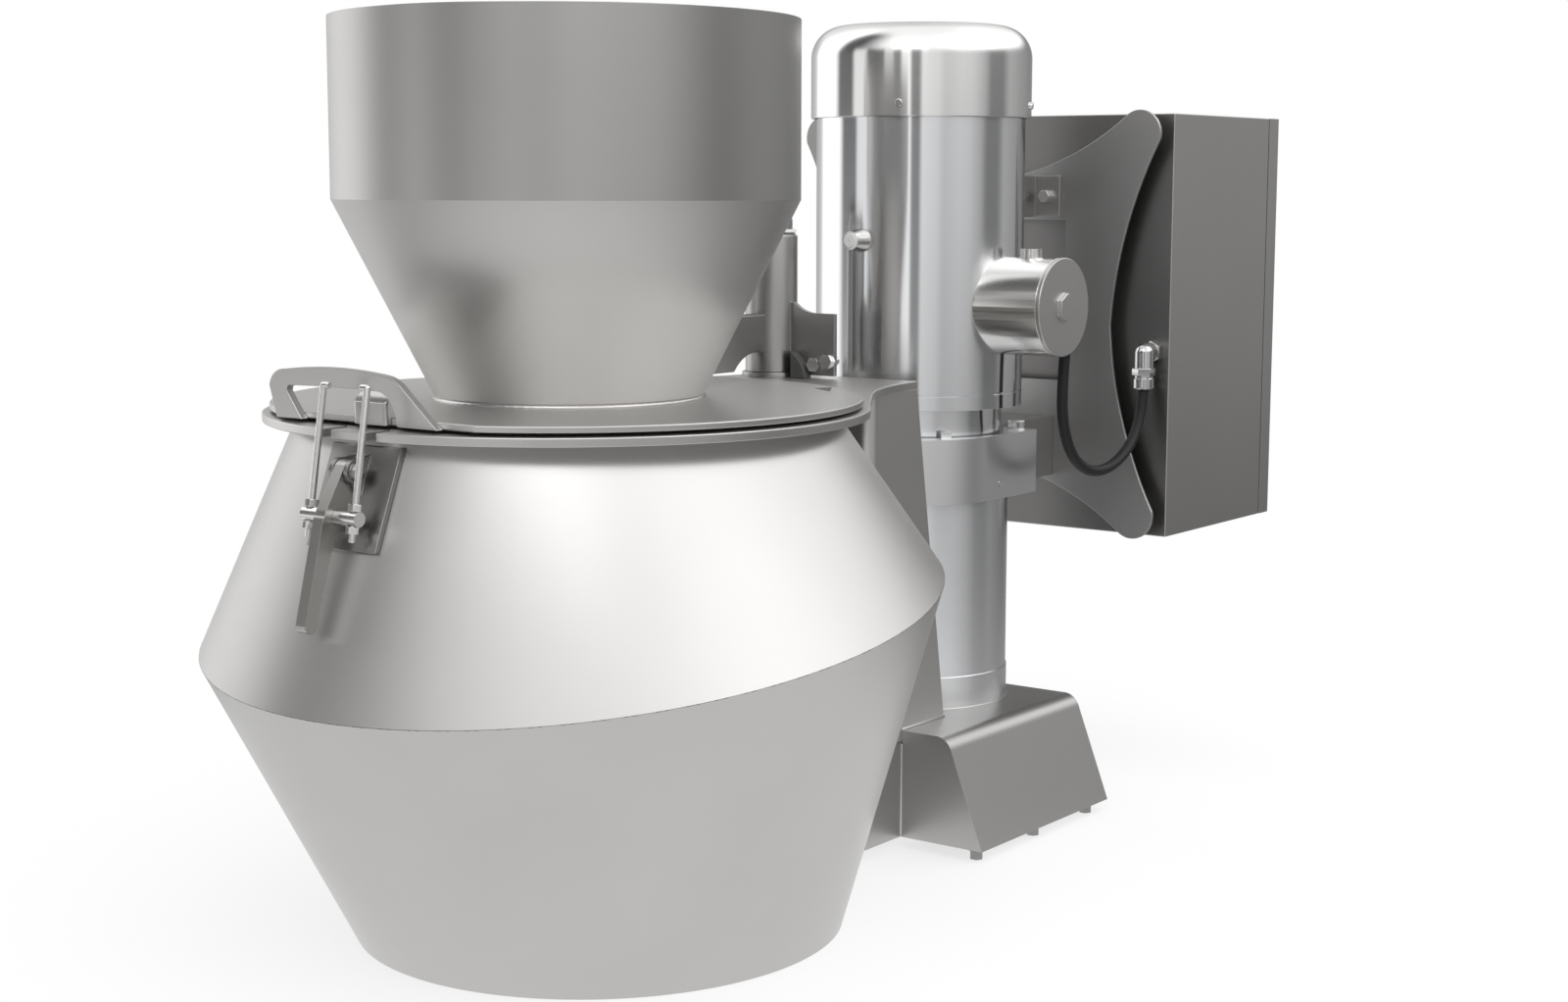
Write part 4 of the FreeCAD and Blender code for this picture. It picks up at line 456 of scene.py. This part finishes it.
satin_steel = steel("satin_steel", (0.505, 0.499, 0.490), rough=0.32, grain=(30, 30, 900), cloud=0.045,
                    spread=0.7)
for name, slope, run, side, cut_level in (("upper_cone", upper_slope, upper_run, 1, table_low),
                                          ("lower_cone", lower_slope, lower_run, -1, 0.0)):
    far_radius = seam_radius - run * math.tan(math.radians(slope))
    cone = drawn_round("rolled_" + name, ((seam_radius, 0.0), (far_radius, side * run)), (0, 0), steps=320,
                       closed=False)
    cone.rotation_euler = (hood_tilt, 0, 0)
    cone.location = seam_place
    bpy.ops.object.transform_apply()
    bpy.ops.object.mode_set(mode="EDIT")
    bpy.ops.mesh.select_all(action="SELECT")
    bpy.ops.mesh.normals_make_consistent(inside=False)
    bpy.ops.mesh.bisect(plane_co=(0, 0, cut_level), plane_no=(0, 0, side), clear_outer=True)
    bpy.ops.object.mode_set(mode="OBJECT")
    modified(cone, "SOLIDIFY", thickness=sheet_wall, offset=-1, use_even_offset=True)
    if name == "lower_cone":
        way_start = head_y + seam_radius / 2
        carved(cone, block("arm_way", (arm_low.x - arm_gap, way_start, -cut_over),
                           (arm_high.x + arm_gap, way_start + seam_radius, arm_high.z + arm_gap)))
    rounded(cone, edge=0.0005, segments=1)
    fitted(cone, satin_steel, "root", "satin_sheet", name)
seam_steel = steel("seam_steel", (0.20, 0.197, 0.193), rough=0.42, grain=(220, 220, 220), cloud=0.08)
hood_seam = bead("hood_seam", (0, 0), seam_radius - seam_thick, 0, seam_thick, "root", seam_steel)
hood_seam.rotation_euler = (hood_tilt, 0, 0)
hood_seam.location = seam_place
bpy.ops.object.transform_apply()

# Table plate: an 8 mm laser-cut steel plate, drawn in at its back to a tongue for the lid hinge and the
# channel. Its outline is the frame's own, with every edge broken.
nodes = frame["nodes"]
slots = {part["node"]: part["material_slot"] for part in frame["record"]["subparts"]}


def dressed(node, material, edge, segments=2, angle=32, smooth=16):
    """A copy of the frame's piece with its triangles joined to faces and its edges broken."""
    same_place = 0.000002
    same_face = math.radians(0.6)
    source = nodes[node]
    piece = source.copy()
    piece.data = source.data.copy()
    bpy.context.scene.collection.objects.link(piece)
    piece.name = "finished_" + node
    piece.parent = None
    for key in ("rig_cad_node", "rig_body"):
        del piece[key]
    work_on(piece)
    bpy.ops.object.mode_set(mode="EDIT")
    bpy.ops.mesh.select_all(action="SELECT")
    bpy.ops.mesh.remove_doubles(threshold=same_place)
    bpy.ops.mesh.dissolve_limited(angle_limit=same_face)
    bpy.ops.object.mode_set(mode="OBJECT")
    if piece.data.has_custom_normals:
        bpy.ops.mesh.customdata_custom_splitnormals_clear()
    rounded(piece, edge, segments, angle, smooth)
    return fitted(piece, material, source["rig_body"], slots[node], node)


plate_steel = steel("plate_steel", (0.56, 0.552, 0.54), rough=0.38, grain=(900, 30, 30), cloud=0.03)
dressed("table_plate", plate_steel, edge=0.0009)

# Lid: a disc of 6 mm plate, cut off straight at its front for the handle, with the hopper's mouth through it
# and its edges ground round. A small dark triangle stands 0.3 mm proud on it near the hinge.
lid_low, lid_high = (corner.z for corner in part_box("lid_plate"))
lid_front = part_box("lid_plate")[0].y
lid_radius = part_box("lid_plate")[1].x
neck_radius = 0.1245
lid = drawn_round("finished_lid_plate", ((neck_radius - sheet_wall, lid_low), (lid_radius, lid_low),
                                         (lid_radius, lid_high), (neck_radius - sheet_wall, lid_high)),
                  (0, head_y), steps=256)
carved(lid, block("lid_flat", (-lid_radius, head_y - lid_radius - cut_over, lid_low - cut_over),
                  (lid_radius, lid_front, lid_high + cut_over)))
rounded(lid, edge=0.0012, segments=3, smooth=12)
fitted(lid, plate_steel, "lid", slots["lid_plate"], "lid_plate")
mark_thick = 0.0003
mark_corners = ((0.128, 0.2168), (0.136, 0.2338), (0.160, 0.1968))
bpy.ops.object.select_all(action="DESELECT")
bpy.ops.mesh.primitive_circle_add(vertices=len(mark_corners), radius=neck_radius, fill_type="NGON")
mark = bpy.context.object
mark.name = "dark_triangle"
for vertex, (x, y) in zip(mark.data.vertices, mark_corners):
    vertex.co = (x, head_y + y, lid_high)
bpy.ops.object.mode_set(mode="EDIT")
bpy.ops.mesh.select_all(action="SELECT")
bpy.ops.mesh.extrude_region_move(TRANSFORM_OT_translate={"value": (0, 0, mark_thick)})
bpy.ops.mesh.select_all(action="SELECT")
bpy.ops.mesh.normals_make_consistent(inside=False)
bpy.ops.object.mode_set(mode="OBJECT")
dark_triangle_steel = steel("dark_triangle_steel", (0.13, 0.127, 0.122), rough=0.45, grain=(200, 200, 200), cloud=0.05)
fitted(mark, dark_triangle_steel, "lid", slots["lid_plate"])

# Feed hopper: a rolled cylinder on a rolled cone of 3 mm sheet, butt-welded and ground, with a plain rim. A
# weld bead joins its neck to the lid.
hopper_low, hopper_high = (corner.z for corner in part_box("feed_hopper"))
hopper_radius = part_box("feed_hopper")[1].x
cone_rise = 0.193
hopper_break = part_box("table_plate")[1].z + cone_rise
hopper = drawn_round("finished_feed_hopper", (
    (neck_radius - sheet_wall, hopper_low), (neck_radius, hopper_low), (hopper_radius, hopper_break),
    (hopper_radius, hopper_high), (hopper_radius - sheet_wall, hopper_high),
    (hopper_radius - sheet_wall, hopper_break)), (0, head_y), steps=256)
rounded(hopper, edge=0.0006)
fitted(hopper, satin_steel, "lid", slots["feed_hopper"], "feed_hopper")
# The cone is the same steel as the cylinder; its lighter tint is painted light.
lit_cone_steel = steel("lit_cone_steel", (0.575, 0.567, 0.555), rough=0.36, grain=(30, 30, 900), cloud=0.03,
                   spread=0.6)
hopper.data.materials.append(lit_cone_steel)
for face in hopper.data.polygons:
    face.material_index = int(face.center.z < hopper_break - sheet_wall / 2)
neck_weld = 0.0032
neck_weld_out = 0.0008
neck_weld_up = 0.0006
weld_steel = steel("weld_steel", (0.50, 0.49, 0.48), rough=0.30, grain=(220, 220, 220), cloud=0.08,
                   scratch=0.6)
bead("hopper_weld", (0, head_y), neck_radius + neck_weld_out, lid_high + neck_weld_up, neck_weld, "lid",
     weld_steel)

# Handle, keeper and seal of the lid: the handle is a flat steel plate with a window for the hand, welded on
# edge to the lid's front. The keeper is a milled block let over that edge, and the seal is a pale rubber ring
# under the lid.
milled_steel = steel("milled_steel", (0.56, 0.55, 0.54), rough=0.34, grain=(400, 40, 40), cloud=0.03)
dressed("lid_handle", milled_steel, edge=0.0008)
dressed("keeper_block", milled_steel, edge=0.0008)


def plain(name, colour, rough, metal=0.0, grain=600.0, bump=0.15, shade=0.12):
    """A cast, moulded or painted surface: an even colour with a fine grain in tone, roughness and relief."""
    made = bpy.data.materials.new(name)
    made.use_nodes = True
    tree = made.node_tree
    shader = tree.nodes["Principled BSDF"]
    shader.inputs["Metallic"].default_value = metal
    where = tree.nodes.new("ShaderNodeTexCoord")
    grains = noise(tree, where.outputs["Object"], scale=grain, detail=3.0)
    coloured(tree, shader, colour, shade, grains)
    roughened(tree, shader, rough, play=0.15, pattern=grains)
    grained(tree, shader, bump, grains)
    return made


seal_rubber = plain("seal_rubber", (0.70, 0.69, 0.65), rough=0.6)
dressed("lid_seal", seal_rubber, edge=0.0006)

# Lid hinge: a turned steel post with a ring at its foot, and the sleeve that turns on it, with a bolted stop
# wing and two gussets to the lid and hopper. A white ring on the sleeve is a painted highlight of its bright
# top edge, and a black plastic interlock block stands on the table plate beside it.
hinge_steel = steel("hinge_steel", (0.40, 0.394, 0.385), rough=0.36, grain=(40, 40, 500), cloud=0.03)
for node in ("hinge_post", "hinge_sleeve", "hinge_gussets"):
    dressed(node, hinge_steel, edge=0.0008)
post_low, post_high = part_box("hinge_post")
post_centre = ((post_low.x + post_high.x) / 2, (post_low.y + post_high.y) / 2)
sleeve_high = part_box("hinge_sleeve")[1].z
# Painted highlight: a white ring on the sleeve's top stands in for the bright reflection of its top edge.
highlight_bore = 0.0236
highlight_radius = 0.0272
highlight_edge = 0.0018
highlight_thick = 0.0034
highlight_chamfer = 0.001
highlight_ring = drawn_round("hinge_highlight_ring", (
    (highlight_bore, sleeve_high), (highlight_radius, sleeve_high), (highlight_radius, sleeve_high + highlight_edge),
    (highlight_radius - highlight_chamfer, sleeve_high + highlight_thick), (highlight_bore, sleeve_high + highlight_thick)),
    post_centre, steps=64)
rounded(highlight_ring, edge=0, smooth=40)
# A plain white for painted highlights, on the hinge sleeve and on the motor's peg.
painted_highlight_white = plain("painted_highlight_white", (0.88, 0.88, 0.87), rough=0.35, grain=500.0, bump=0.05, shade=0.03)
fitted(highlight_ring, painted_highlight_white, "root", slots["hinge_post"])
bright_steel = steel("bright_steel", (0.72, 0.71, 0.70), rough=0.22, grain=(300, 300, 300), cloud=0.05)
dressed("wing_bolts", bright_steel, edge=0.0006)
black_plastic = plain("black_plastic", (0.10, 0.10, 0.10), rough=0.45)
dressed("interlock_block", black_plastic, edge=0.001)

# Toggle latch: a curved steel plate with two ears, welded on the hood, and a flat bent lever between them.
# The lever carries a bright turned cross pin with two hooked rods, held in it by their nuts.
bracket_steel = steel("bracket_steel", (0.30, 0.295, 0.29), rough=0.34, grain=(60, 60, 60), cloud=0.05)
dressed("latch_base", bracket_steel, edge=0.0008)
lever_steel = steel("lever_steel", (0.42, 0.412, 0.395), rough=0.30, grain=(60, 60, 60), cloud=0.05)
dressed("latch_lever", lever_steel, edge=0.001)
dressed("cross_pin", bright_steel, edge=0.0008)
dressed("bail_rods", bright_steel, edge=0.0006)
dressed("bail_nuts", bright_steel, edge=0.0006)

# Grating head under the lid: two rings with a shoe and a knife at each station, bolted together and hung from
# the table plate on a carrier. The impeller turns inside it, above the spindle's housing. All of it is
# machined stainless steel.
head_steel = steel("head_steel", (0.55, 0.54, 0.53), rough=0.30, grain=(60, 60, 300), cloud=0.04)
knife_steel = steel("knife_steel", (0.72, 0.72, 0.72), rough=0.16, grain=(40, 40, 900), cloud=0.02)


def finish_node(node, material):
    """Gives a piece of the frame its material and leaves its shape as it is."""
    nodes[node].data.materials.clear()
    nodes[node].data.materials.append(material)


for node in ("head_rings", "knife_shoes", "head_carrier", "spindle_housing", "impeller_disc",
             "impeller_paddles"):
    dressed(node, head_steel, edge=0.0005, segments=1)
dressed("head_bolts", bright_steel, edge=0.0005, segments=1)
finish_node("knives", knife_steel)

# Drive inside the closed housings: ground shafts on ball bearings, a rubber shaft seal and belt, cast iron
# pulleys and the motor's iron core. Nothing shows them, so they keep the frame's shapes.
bearing_steel = steel("bearing_steel", (0.50, 0.50, 0.52), rough=0.2, grain=(90, 90, 90))
for node in ("spindle_bearings", "rotor_bearings", "spindle_shaft", "rotor_shaft"):
    finish_node(node, bearing_steel)
black_rubber = plain("black_rubber", (0.035, 0.035, 0.035), rough=0.6)
for node in ("spindle_seal", "drive_belt"):
    finish_node(node, black_rubber)
cast_iron = plain("cast_iron", (0.28, 0.28, 0.29), rough=0.5, metal=0.8, grain=260.0, bump=0.5)
for node in ("driven_pulley", "drive_pulley", "rotor_core", "stator"):
    finish_node(node, cast_iron)

# Belt arm, base and channel: folded from 4 and 5 mm stainless sheet, with the end plates welded in and the
# edges broken. The base stands on flanged bolts, and weld seams close the joints round the arm and channel.
sheet_steel = steel("sheet_steel", (0.42, 0.414, 0.405), rough=0.36, grain=(30, 900, 30), cloud=0.03)
for node in ("belt_housing", "belt_cover", "base_cover"):
    dressed(node, sheet_steel, edge=0.0008, angle=20)
channel_steel = steel("channel_steel", (0.58, 0.572, 0.56), rough=0.36, grain=(30, 900, 30), cloud=0.03)
dressed("frame_channel", channel_steel, edge=0.0008, angle=20)
bolt_steel = steel("bolt_steel", (0.26, 0.257, 0.253), rough=0.32, grain=(300, 300, 300), cloud=0.05)
dressed("base_bolts", bolt_steel, edge=0.0006)


def seam(name, start, end, thick):
    """A straight weld: a round bar from start to end with domed tips."""
    bpy.ops.object.select_all(action="DESELECT")
    along = Vector(end) - Vector(start)
    bpy.ops.mesh.primitive_uv_sphere_add(segments=16, ring_count=12, radius=thick, location=start)
    made = bpy.context.object
    made.name = name
    made.rotation_euler = along.to_track_quat("Z", "Y").to_euler()
    bpy.ops.object.transform_apply()
    for vertex in made.data.vertices:
        if (vertex.co - Vector(start)).dot(along) > 0:
            vertex.co += along
    bpy.ops.object.shade_smooth()
    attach(made, "root")
    made.data.materials.append(weld_steel)


base_low, base_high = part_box("base_cover")
channel_low, channel_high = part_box("frame_channel")
base_weld = 0.0018
channel_weld = 0.0020
roof_weld = 0.0022
weld_out = 0.0006
weld_end = 0.002
foot_end = 0.003
bend_end = 0.012
for side, edge in (("left", arm_low.x), ("right", arm_high.x)):
    seam("base_seam_" + side, (edge, base_low.y - weld_out, base_low.z + foot_end),
         (edge, base_low.y - weld_out, arm_high.z - weld_end), base_weld)
    seam("channel_seam_" + side, (edge, channel_low.y + bend_end, channel_low.z + weld_out),
         (edge, base_low.y - weld_end, channel_low.z + weld_out), channel_weld)
    seam("roof_seam_" + side, (edge, base_low.y + weld_end, base_high.z + weld_out),
         (edge, channel_high.y - weld_end, base_high.z + weld_out), roof_weld)

# Column and its clamp: a thick drawn tube with a collar at its foot, welded on the base, and a milled block,
# split at its back, that is pulled tight round the tube's top.
motor_y = (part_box("motor_housing")[0].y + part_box("motor_housing")[1].y) / 2
column_low, column_high = (corner.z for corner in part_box("column_tube"))
column_radius = 0.1035
tube_wall = 0.0082
collar_wall = 0.0012
collar_radius = column_radius + collar_wall
collar_high = column_low + 0.036
collar_weld = 0.0015
collar_weld_out = 0.0002
tube_steel = steel("tube_steel", (0.73, 0.735, 0.745), rough=0.24, grain=(30, 30, 700), cloud=0.03,
                   spread=0.9, lay=0.25)
column = drawn_round("finished_column_tube", (
    (column_radius - tube_wall, column_low), (collar_radius, column_low), (collar_radius, collar_high),
    (column_radius, collar_high), (column_radius, column_high), (column_radius - tube_wall, column_high)),
    (0, motor_y), steps=224)
rounded(column, edge=0.0004)
fitted(column, tube_steel, "root", slots["column_tube"], "column_tube")
bead("column_weld", (0, motor_y), collar_radius + collar_weld_out, column_low, collar_weld, "root",
     weld_steel)
clamp_steel = steel("clamp_steel", (0.85, 0.85, 0.855), rough=0.30, grain=(40, 40, 500), cloud=0.02)
dressed("column_clamp", clamp_steel, edge=0.0007, smooth=11)

# Motor: a turned and polished stainless housing, its neck let into the column, under a deep-drawn fan cap
# that four small screws hold. A short polished drum on its side, with a bolted cover, is the terminal box.
neck_low, motor_high = (corner.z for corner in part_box("motor_housing"))
motor_neck = 0.095
neck_wall = 0.010
motor_low = 0.467
motor_radius = 0.1175
motor_wall = 0.012
bore_radius = 0.036
groove_low = motor_low + 0.016
groove_high = groove_low + 0.0015
groove_floor = motor_radius - 0.001
bright_body = steel("bright_body", (0.76, 0.765, 0.775), rough=0.16, grain=(20, 20, 260), cloud=0.02,
                    spread=0.95, lay=0.25)
motor = drawn_round("finished_motor_housing", (
    (motor_neck - neck_wall, neck_low), (motor_neck, neck_low), (motor_neck, motor_low),
    (motor_radius, motor_low), (motor_radius, groove_low), (groove_floor, groove_low),
    (groove_floor, groove_high), (motor_radius, groove_high), (motor_radius, motor_high),
    (bore_radius, motor_high), (bore_radius, motor_high - motor_wall),
    (motor_radius - motor_wall, motor_high - motor_wall), (motor_radius - motor_wall, motor_low + motor_wall),
    (motor_neck - neck_wall, motor_low + motor_wall)), (0, motor_y), steps=256)
rounded(motor, edge=0.0004, segments=1)
fitted(motor, bright_body, "root", slots["motor_housing"], "motor_housing")
cap_low, cap_high = (corner.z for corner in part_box("motor_cap"))
cap_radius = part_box("motor_cap")[1].x
cap_bend = 0.036
cap_wall = 0.003
bend_steps = 14
cap_pole = 0.002
turns = [math.pi / 2 * step / bend_steps for step in range(bend_steps + 1)]
shoulder = [(cap_radius - cap_bend * (1 - math.cos(turn)), cap_high - cap_bend * (1 - math.sin(turn)))
            for turn in turns]
cap = drawn_round("finished_motor_cap", ((cap_radius, cap_low), *shoulder, (cap_pole, cap_high)),
                  (0, motor_y), steps=256, closed=False)
work_on(cap)
bpy.ops.object.mode_set(mode="EDIT")
bpy.ops.mesh.select_all(action="DESELECT")
bpy.ops.object.mode_set(mode="OBJECT")
for vertex in cap.data.vertices:
    vertex.select = math.hypot(vertex.co.x, vertex.co.y - motor_y) < 2 * cap_pole
bpy.ops.object.mode_set(mode="EDIT")
bpy.ops.mesh.merge(type="CENTER")
bpy.ops.object.mode_set(mode="OBJECT")
modified(cap, "SOLIDIFY", thickness=cap_wall, offset=-1, use_even_offset=True)
rounded(cap, edge=0.0006)
polished_steel = steel("polished_steel", (0.80, 0.795, 0.79), rough=0.16, grain=(20, 20, 260), cloud=0.02,
                       spread=0.95, lay=0.25)
fitted(cap, polished_steel, "root", slots["motor_cap"], "motor_cap")
dressed("motor_bolts", bright_steel, edge=0.0006)
box_steel = steel("box_steel", (0.74, 0.735, 0.72), rough=0.15, grain=(260, 20, 20), cloud=0.02,
                  spread=0.95, lay=0.25, axis="X")
dressed("junction_box", box_steel, edge=0.0008)
dressed("junction_cover", milled_steel, edge=0.001)
dressed("motor_plugs", bright_steel, edge=0.0008)
# Painted highlight: a white disc on the peg's end stands in for the bright reflection of its polished face.
peg_height = 0.653
glint_radius = 0.0078
glint_thick = 0.0012
glint_chamfer = 0.0004
glint_bevel = 0.0008
glint_pole = 0.0005
glint_sunk = 0.0002
peg_glint_disc = drawn_round("peg_highlight_disc", (
    (glint_radius, 0), (glint_radius, glint_thick - glint_chamfer),
    (glint_radius - glint_bevel, glint_thick), (glint_pole, glint_thick)), (0, 0), steps=40)
peg_glint_disc.rotation_euler = (math.pi / 2, 0, 0)
peg_glint_disc.location = (0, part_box("motor_plugs")[0].y + glint_sunk, peg_height)
bpy.ops.object.transform_apply()
rounded(peg_glint_disc, edge=0)
fitted(peg_glint_disc, painted_highlight_white, "root", slots["motor_plugs"])
fan_plastic = plain("fan_plastic", (0.05, 0.05, 0.05), rough=0.4)
finish_node("cooling_fan", fan_plastic)

# Motor cable: a 12.5 mm black cable that hangs in one loop from the terminal box to an elbow on the cabinet.
# A chromed gland holds each end. The points of its route are (y, z), with y from the head's axis.
route_x = 0.165
route = ((0.643, 0.527), (0.638, 0.487), (0.641, 0.447), (0.660, 0.412), (0.694, 0.391), (0.733, 0.386),
         (0.772, 0.394), (0.806, 0.414), (0.826, 0.444), (0.831, 0.475))
cable_radius = 0.00625
curve = bpy.data.curves.new("motor_lead", "CURVE")
curve.dimensions = "3D"
spline = curve.splines.new("NURBS")
spline.points.add(len(route) - 1)
for point, (y, z) in zip(spline.points, route):
    point.co = (route_x, head_y + y, z, 1)
spline.order_u = 3
spline.use_endpoint_u = True
curve.resolution_u = 24
curve.bevel_depth = cable_radius
curve.bevel_resolution = 8
curve.use_fill_caps = True
lead = bpy.data.objects.new("motor_lead", curve)
bpy.context.scene.collection.objects.link(lead)
cable_rubber = plain("cable_rubber", (0.010, 0.010, 0.011), rough=0.5, grain=900.0, bump=0.1)
cable_rubber.node_tree.nodes["Principled BSDF"].inputs["Specular IOR Level"].default_value = 0.3
fitted(lead, cable_rubber, "root", slots["motor_cable"], "motor_cable")
gland_chrome = steel("gland_chrome", (0.52, 0.52, 0.52), rough=0.12, grain=(90, 90, 90))
dressed("motor_gland", gland_chrome, edge=0.0007)
gland_y = head_y + route[-1][0]
gland_low = route[-1][1]
elbow_high = gland_low + 0.0425
arm_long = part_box("cabinet_gland")[1].y - gland_y
leg_radius = 0.0115
nut_radius = 0.0126
hex_radius = 0.0139
lip_radius = nut_radius - 0.001
ferrule_high = 0.0132
nut_low = 0.0150
nut_high = 0.0250
chamfer = 0.0012
dome_turns = [math.radians(angle) for angle in (0, 15, 30, 45, 60, 75, 87)]
dome = [(leg_radius * math.cos(turn), elbow_high + leg_radius * math.sin(turn)) for turn in dome_turns]
elbow = drawn_round("finished_cabinet_gland", (
    (cable_radius, gland_low), (lip_radius, gland_low), (nut_radius, gland_low + chamfer),
    (nut_radius, gland_low + ferrule_high - chamfer), (leg_radius, gland_low + ferrule_high), *dome),
    (route_x, gland_y), steps=48)
rounded(elbow, edge=0, smooth=25)
fitted(elbow, gland_chrome, "root", slots["cabinet_gland"], "cabinet_gland")
gland_nut = drawn_round("gland_nut", (
    (leg_radius, gland_low + nut_low), (nut_radius, gland_low + nut_low),
    (hex_radius, gland_low + nut_low + chamfer), (hex_radius, gland_low + nut_high - chamfer),
    (nut_radius, gland_low + nut_high), (leg_radius, gland_low + nut_high)), (route_x, gland_y), steps=6)
rounded(gland_nut, edge=0.0003)
fitted(gland_nut, gland_chrome, "root", slots["cabinet_gland"])
arm_pole = 0.0002
wall_nut_low = arm_long - 0.0085
wall_nut_high = arm_long - 0.0005
wall_chamfer = 0.0013
for name, corners, steps in (
        ("gland_arm", ((arm_pole, 0), (leg_radius, 0), (leg_radius, arm_long), (arm_pole, arm_long)), 48),
        ("wall_nut", ((leg_radius, wall_nut_low), (nut_radius, wall_nut_low),
                      (hex_radius, wall_nut_low + wall_chamfer), (hex_radius, wall_nut_high),
                      (leg_radius, wall_nut_high)), 6)):
    turned = drawn_round(name, corners, (0, 0), steps)
    turned.rotation_euler = (-math.pi / 2, 0, 0)
    turned.location = (route_x, gland_y, elbow_high)
    bpy.ops.object.transform_apply()
    rounded(turned, edge=0.0003)
    fitted(turned, gland_chrome, "root", slots["cabinet_gland"])

# Cabinet: a folded steel box with its door at the back, carried by a waisted plate and a bracket on the motor
# and the clamp. Its front face has an upright grain, and a darker tint that is painted shade and a painted
# reflection of the motor's back. The control gear stands on a panel inside.
cabinet_steel = steel("cabinet_steel", (0.50, 0.493, 0.482), rough=0.36, grain=(30, 900, 30), cloud=0.03)
# Painted shade and painted reflection: the front face's darker tint.
shaded_front_steel = steel("shaded_front_steel", (0.235, 0.23, 0.226), rough=0.36, grain=(700, 30, 30), cloud=0.03)
folded_box = dressed("cabinet_box", cabinet_steel, edge=0.0012, segments=3, smooth=12)
folded_box.data.materials.append(shaded_front_steel)
facing_front = -0.99
for face in folded_box.data.polygons:
    face.material_index = int(face.normal.y < facing_front)
dressed("cabinet_door", cabinet_steel, edge=0.0012, segments=3, smooth=12)
plate_sheet = steel("plate_sheet", (0.42, 0.415, 0.41), rough=0.36, grain=(30, 30, 700), cloud=0.03)
for node in ("cabinet_plate", "cabinet_bracket"):
    dressed(node, plate_sheet, edge=0.0008)
for node in ("door_hinges", "door_lock"):
    dressed(node, bright_steel, edge=0.0006)
gear_plastic = plain("gear_plastic", (0.48, 0.49, 0.48), rough=0.5)
dressed("control_gear", gear_plastic, edge=0.001)
